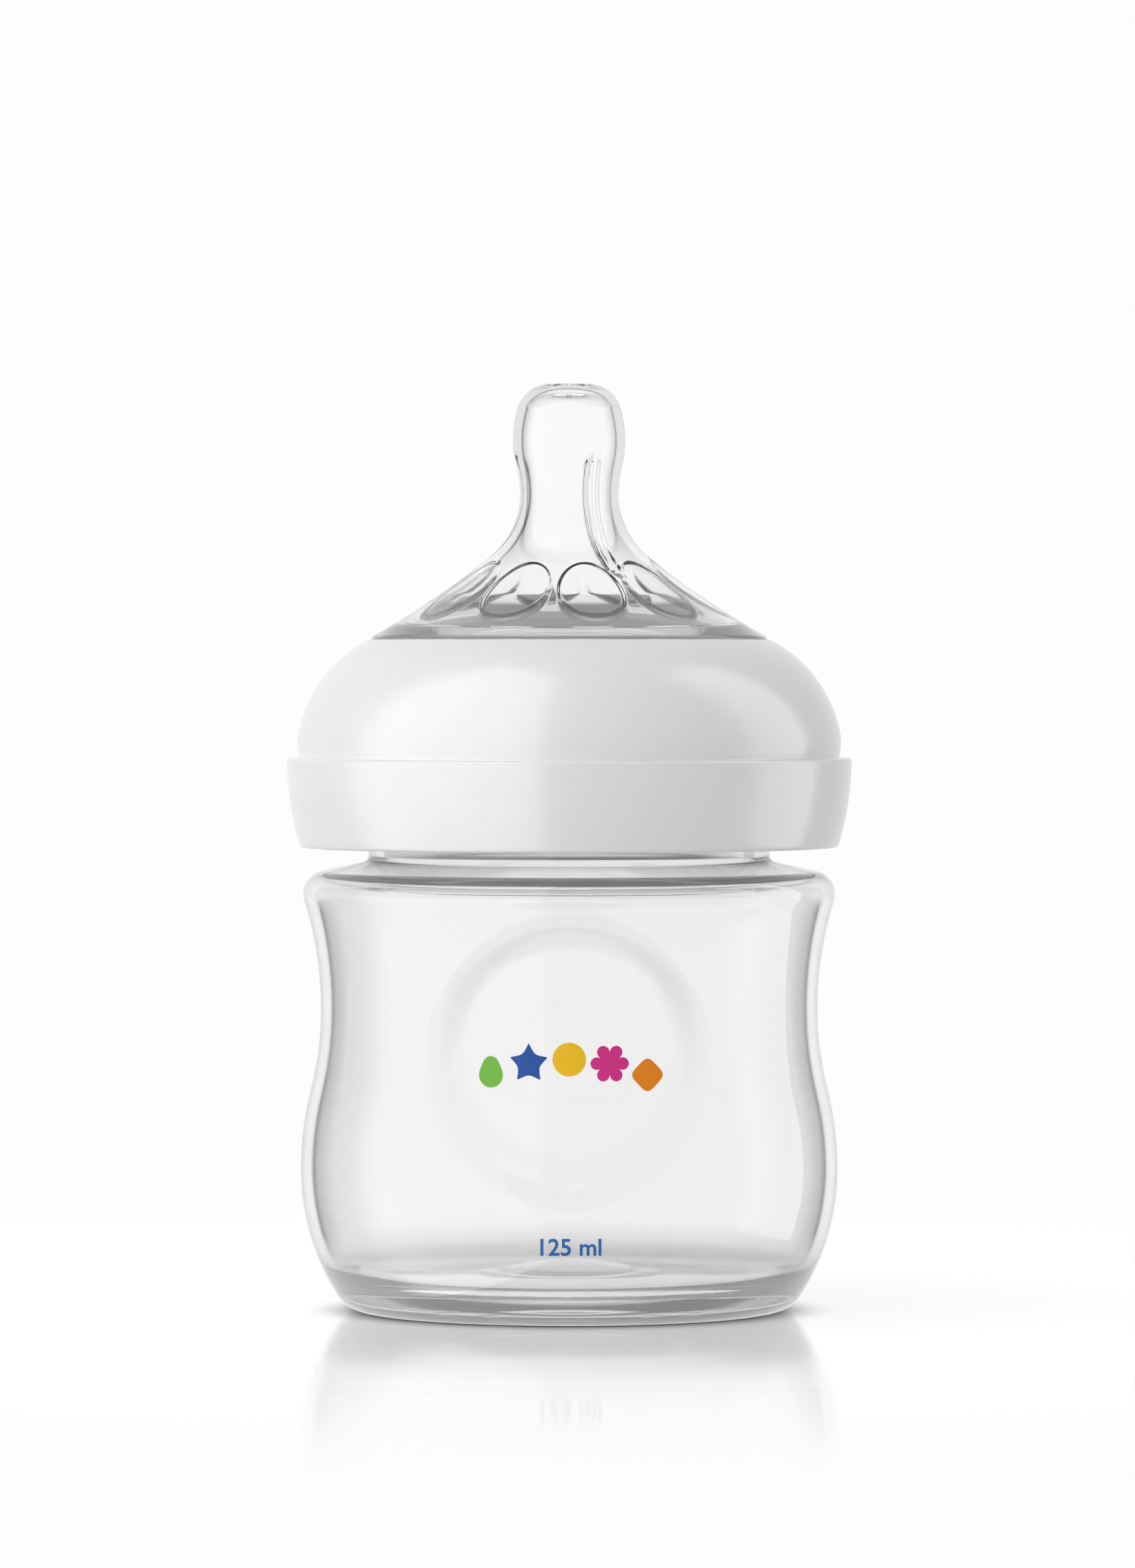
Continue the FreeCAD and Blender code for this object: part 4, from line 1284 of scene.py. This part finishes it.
    def grooves(self, points: Array, angle: Array, depth: float) -> Array:
        """Give the depth of the long grooves: a rounded slot at equal turns about the axis.

        Distance from a slot's middle line, ends included, is scaled by the half width; the slot has
        steep sides and a flat floor.

        Args:
            points: the contour as radius and height.
            angle: angles in radians.
            depth: depth of the floor, in millimetres.
        Returns:
            Depth at each contour point and angle.
        """
        aside = turned_from(angle * self.groove_count, math.radians(self.turn) * self.groove_count)
        aside = aside / self.groove_count * points[:, :1]
        height = points[:, 1:]
        past = np.maximum(np.maximum(self.groove_low - height, height - self.groove_high), 0)
        share = np.hypot(aside, past) / self.groove_half
        depth = depth * ramp((1 - share) / self.groove_flank, self.groove_bend)
        return np.where(share < self.cut, depth, 0)

    def petals(self, points: Array, walls: Array, angle: Array) -> tuple[Array, Array]:
        """Give the petals' share of their full depth inside the skirt: egg shapes, wider at the foot.

        A petal is where the squares of two shares add to less than one: distance along the skirt over the
        half length, and sideways distance over a half width that grows downwards. A petal's foot, which
        gets painted grey shade, is where the first share passes a third.

        Args:
            points: the contour as radius and height.
            walls: each point's wall.
            angle: angles in radians.
        Returns:
            Share of the depth, and share of the foot that gets painted shade.
        """
        along = run_length(points)
        inner = walls == Wall.INNER.value
        skirt = np.flatnonzero(inner & (points[:, 1] < self.skirt_top))
        middle = along[skirt][np.argmin(np.abs(points[skirt, 0] - self.petal_middle))]
        down = ((along - middle) / self.petal_half_length)[:, None]
        first = math.radians(self.turn + self.petal_turn)
        aside = turned_from(angle * self.petal_count, first * self.petal_count)
        aside = aside / self.petal_count * points[:, :1]
        width = self.petal_half_width * (1 + self.petal_egg * np.clip(down, -1, 1))
        share = np.hypot(down, aside / width)
        # A petal is shallow at its upper end and full from its middle down.
        full = self.petal_top_depth + (1 - self.petal_top_depth) * rise(down, -1.0, 1.1)
        depth = full * ramp((1 - share) / self.petal_rim, self.petal_bend)
        depth = np.where(inner[:, None] & (share < self.cut), depth, 0)
        return depth, depth * rise(down, *self.petal_foot_from)

    def pits(self, points: Array, angle: Array) -> Array:
        """Give the depth of the two flow holes: small dimples either side of the axis.

        Args:
            points: the contour as radius and height.
            angle: angles in radians.
        Returns:
            Depth at each contour point and angle.
        """
        across = points[:, :1] * np.cos(angle)
        along = np.abs(points[:, :1] * np.sin(angle)) - self.hole_offset
        away = np.hypot(across, along) / self.hole_radius
        return np.where(points[:, 1:] > self.tip_from, self.hole_depth * fall(away, *self.hole_edge), 0)

    def build(self) -> list[bpy.types.Object]:
        """Make the teat, with petals, grooves, ribs and flow holes pressed along the wall's normals.

        Returns:
            The new object, as a list.
        """
        points, walls = self.contour()
        normal = face_normals(points)
        angle = np.linspace(0, 2 * math.pi, 370, endpoint=False)[None, :]
        inner = (walls == Wall.INNER.value)[:, None]
        outer = (walls == Wall.OUTER.value)[:, None]
        petals, foot = self.petals(points, walls, angle)
        sunk = self.petal_depth * petals + self.pits(points, angle)
        sunk = sunk + np.where(outer, self.grooves(points, angle, self.groove_depth), 0)
        sunk = sunk - np.where(inner, self.grooves(points, angle, self.rib_depth), 0)
        radius = points[:, :1] - sunk * normal[:, :1]
        height = points[:, 1:] - sunk * normal[:, 1:]
        up = points[:, 1:]
        # inner_wall and outer_wall place the painted edge shade, petal_foot the painted shade on each
        # petal's foot.
        marks = {"inner_wall": np.where(inner, rise(up, *self.inner_grey_from), 0),
                 "outer_wall": np.where(outer, rise(up, *self.outer_grey_from), 0),
                 "thin_wall": np.maximum(petals, rise(up, *self.clear_from)),
                 "petal_foot": foot}
        made = revolve("teat_shell", radius, height, angle[0], Ends.POLES, marks)
        made.data.materials.append(self.silicone.material())
        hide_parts("teat")
        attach(made, "teat")
        return [made]


@dataclass(frozen=True)
class WhiteAcrylic:
    """Cast white acrylic sheet: bright glossy table top that mirrors what stands on it."""

    name: str = "acrylic_white_cast"
    colour: str = "#EAEAEA"
    roughness: float = 0.09
    ior: float = 1.45
    glow: float = 0.165
    # Painted light: glow of the sheet under the bottle, as seen through the clear plastic.
    painted_glow_under: float = 0.75
    under_mm: float = 26.0
    under_fade: float = 1.4
    foot_mm: float = 25.2
    # Painted contact shadow: its colour, strength and reach.
    gap_shade: str = "#3C3C3C"
    gap_share: float = 0.97
    gap_reach_mm: float = 8.5
    fade_from_mm: float = 55.0
    fade_to_mm: float = 215.0

    def material(self) -> bpy.types.Material:
        """Build the material, which fades out to nothing away from the middle.

        Returns:
            The new material.
        """
        made, tree = new_material(self.name)
        place = add_node(tree, "ShaderNodeTexCoord")
        away = add_node(tree, "ShaderNodeVectorMath", {0: place.outputs["Object"]}, operation="LENGTH")
        share = add_node(tree, "ShaderNodeMapRange", {
            "Value": away.outputs["Value"], "From Min": self.fade_from_mm * MM,
            "From Max": self.fade_to_mm * MM}, interpolation_type="SMOOTHSTEP")
        shader = add_node(tree, "ShaderNodeBsdfPrincipled", {
            "Base Color": linear(self.colour), "Roughness": self.roughness, "IOR": self.ior})
        # The sheet glows a little to the eye, an evenly lighter white; seen through the clear plastic it
        # glows more under the bottle, a painted pool of light.
        rays = add_node(tree, "ShaderNodeLightPath")
        under = add_node(tree, "ShaderNodeMapRange", {
            "Value": away.outputs["Value"], "From Min": self.under_mm * MM,
            "From Max": self.under_fade * self.under_mm * MM,
            "To Min": self.painted_glow_under, "To Max": self.glow})
        through = add_node(tree, "ShaderNodeMath", {
            0: rays.outputs["Is Transmission Ray"], 1: under.outputs["Result"]}, operation="MULTIPLY")
        level = add_node(tree, "ShaderNodeMath", {
            0: rays.outputs["Is Camera Ray"], 1: self.glow, 2: through.outputs["Value"]},
            operation="MULTIPLY_ADD")
        glow = add_node(tree, "ShaderNodeEmission", {
            "Color": linear(WHITE), "Strength": level.outputs["Value"]})
        lit = add_node(tree, "ShaderNodeAddShader", {
            0: shader.outputs["BSDF"], 1: glow.outputs["Emission"]})
        # Painted contact shadow: a dark sheet is mixed in where little light gets into the narrow gap under
        # the rounded foot, with a squared fall from there outwards.
        near = add_node(tree, "ShaderNodeMapRange", {
            "Value": away.outputs["Value"], "From Min": self.foot_mm * MM,
            "From Max": (self.foot_mm + self.gap_reach_mm) * MM, "To Min": 1.0, "To Max": 0.0})
        near = add_node(tree, "ShaderNodeMath", {0: near.outputs["Result"], 1: 2.0}, operation="POWER")
        dark = add_node(tree, "ShaderNodeMath", {
            0: near.outputs["Value"], 1: self.gap_share}, operation="MULTIPLY")
        dark = add_node(tree, "ShaderNodeMath", {
            0: dark.outputs["Value"], 1: rays.outputs["Is Camera Ray"]}, operation="MULTIPLY")
        gap = add_node(tree, "ShaderNodeBsdfDiffuse", {"Color": linear(self.gap_shade)})
        lit = add_node(tree, "ShaderNodeMixShader", {
            0: dark.outputs["Value"], 1: lit.outputs["Shader"], 2: gap.outputs["BSDF"]})
        clear = add_node(tree, "ShaderNodeBsdfTransparent")
        mixed = add_node(tree, "ShaderNodeMixShader", {
            0: share.outputs["Result"], 1: lit.outputs["Shader"], 2: clear.outputs["BSDF"]})
        add_node(tree, "ShaderNodeOutputMaterial", {"Surface": mixed.outputs["Shader"]})
        return made


class Use(Enum):
    """What a softbox is hung for."""

    SHADING = "shading"
    SHINE = "shine"


@dataclass(frozen=True)
class Softbox:
    """A rectangular soft light that shines towards the bottle, or is only mirrored in it."""

    name: str
    place: tuple[float, float, float]
    aim: tuple[float, float, float]
    size: Pair
    brightness: float
    use: Use
    soft: float = 0.0

    def build(self, shiny: bpy.types.Collection) -> bpy.types.Object:
        """Hang the light; its power is four times its area times the brightness that the eye sees.

        Args:
            shiny: the pieces that mirror a light hung for its shine.
        Returns:
            The new light.
        """
        lamp = bpy.data.lights.new(self.name, "AREA")
        lamp.shape = "RECTANGLE"
        lamp.size, lamp.size_y = self.size
        lamp.energy = 4 * self.size[0] * self.size[1] * self.brightness
        if self.soft:
            # The cloth of a softbox darkens towards its far edge.
            lamp.use_nodes = True
            tree = lamp.node_tree
            tree.nodes.clear()
            face = add_node(tree, "ShaderNodeNewGeometry")
            across = add_node(tree, "ShaderNodeSeparateXYZ", {0: face.outputs["Parametric"]})
            share = add_node(tree, "ShaderNodeMapRange", {
                "Value": across.outputs["X"], "From Max": self.soft}, interpolation_type="SMOOTHSTEP")
            light = add_node(tree, "ShaderNodeEmission", {"Strength": share.outputs["Result"]})
            add_node(tree, "ShaderNodeOutputLight", {"Surface": light.outputs["Emission"]})
        made = bpy.data.objects.new(self.name, lamp)
        made.location = self.place
        made.rotation_euler = (Vector(self.aim) - Vector(self.place)).to_track_quat("-Z", "Y").to_euler()
        made.visible_camera = False
        made.visible_transmission = False
        made.visible_diffuse = self.use is Use.SHADING
        made.visible_glossy = self.use is Use.SHINE
        if self.use is Use.SHINE:
            made.light_linking.receiver_collection = shiny
        bpy.context.scene.collection.objects.link(made)
        return made


@dataclass
class Studio:
    """White table, bright background, three softboxes and a long-lens camera level with the ring."""

    camera_place: tuple[float, float, float] = (-0.00021, -1.009, 0.081)
    camera_dip: float = 0.896
    lens: float = 186.75
    background: str = "#FDFDFD"
    fill: float = 0.6
    turns_in_clear: int = 40
    table_radius: float = 0.45
    table_gap_mm: float = 0.1
    table: WhiteAcrylic = field(default_factory=WhiteAcrylic)
    lights: tuple[Softbox, ...] = (
        Softbox("key_left", (-1.17, -0.82, 0.78), (0.0, 0.0, 0.06), (2.8, 3.2), 0.62, Use.SHADING),
        Softbox("shine_left", (-0.566, -0.340, 1.2), (0.0, 0.0, 1.2), (1.45, 4.0), 2.05, Use.SHINE, 0.32),
        Softbox("shine_right", (0.80, 0.075, 0.65), (0.0, 0.075, 0.65), (0.70, 1.9), 1.7, Use.SHINE, 0.4),
    )

    def make_table(self) -> bpy.types.Object:
        """Make the round table top: radius and turn are its two parameters.

        Returns:
            The new object.
        """
        turn = np.linspace(0, 2 * math.pi, 128, endpoint=False)
        reach = np.repeat(np.linspace(0, self.table_radius, 10)[:, None], len(turn), axis=1)
        level = np.full(reach.shape, -self.table_gap_mm * MM)
        places = np.stack([reach * np.cos(turn), reach * np.sin(turn), level], axis=2)
        made, _ = grid_object("table_top", places, Ends.DISC, flip=True)
        made.data.materials.append(self.table.material())
        # A softbox reaches below the table, and the gloss of bottle and ring shows all of it.
        made.visible_glossy = False
        return made

    def make_world(self) -> None:
        """Surround the scene: white to the eye, in gloss and through clear plastic, dimmer as fill."""
        world = bpy.data.worlds.new("studio_world")
        world.use_nodes = True
        tree = world.node_tree
        tree.nodes.clear()
        rays = add_node(tree, "ShaderNodeLightPath")
        shiny = add_node(tree, "ShaderNodeMath", {
            0: rays.outputs["Is Glossy Ray"], 1: rays.outputs["Is Transmission Ray"]}, operation="MAXIMUM")
        seen = add_node(tree, "ShaderNodeMath", {
            0: rays.outputs["Is Camera Ray"], 1: shiny.outputs["Value"]}, operation="MAXIMUM")
        dim = add_node(tree, "ShaderNodeBackground", {"Color": linear(WHITE), "Strength": self.fill})
        white = add_node(tree, "ShaderNodeBackground", {
            "Color": linear(self.background), "Strength": 1.0})
        mixed = add_node(tree, "ShaderNodeMixShader", {
            0: seen.outputs["Value"], 1: dim.outputs["Background"], 2: white.outputs["Background"]})
        add_node(tree, "ShaderNodeOutputWorld", {"Surface": mixed.outputs["Shader"]})
        bpy.context.scene.world = world

    def make_camera(self) -> None:
        """Set the long-lens camera level with the ring, dipped by under a degree."""
        lens = bpy.data.cameras.new("studio_camera")
        lens.sensor_fit = "VERTICAL"
        lens.sensor_height = 36.0
        lens.lens = self.lens
        made = bpy.data.objects.new("studio_camera", lens)
        made.location = self.camera_place
        made.rotation_euler = (math.radians(90 - self.camera_dip), 0.0, 0.0)
        bpy.context.scene.collection.objects.link(made)
        bpy.context.scene.camera = made

    def build(self, pieces: list[bpy.types.Object]) -> None:
        """Set up table, surroundings, lights, camera and the plain view of colours.

        Args:
            pieces: everything that belongs to the bottle.
        """
        shiny = bpy.data.collections.new("shiny_pieces")
        for piece in pieces:
            shiny.objects.link(piece)
        self.make_table()
        self.make_world()
        for light in self.lights:
            light.build(shiny)
        self.make_camera()
        scene = bpy.context.scene
        scene.view_settings.view_transform = "Standard"
        # Light turns many times inside the thick clear foot before it leaves it.
        scene.cycles.max_bounces = self.turns_in_clear
        scene.cycles.transmission_bounces = self.turns_in_clear


def main() -> None:
    """Build the bottle, its ring and its teat, then the studio."""
    logging.basicConfig(level=logging.INFO, format="%(message)s")
    pieces: list[bpy.types.Object] = []
    for assembly in (Bottle(), ScrewRing(), Teat()):
        for piece in assembly.build():
            log.info("%s: %s, %d faces", type(assembly).__name__, piece.name, len(piece.data.polygons))
            pieces.append(piece)
    Studio().build(pieces)


if __name__ == "__main__":
    main()
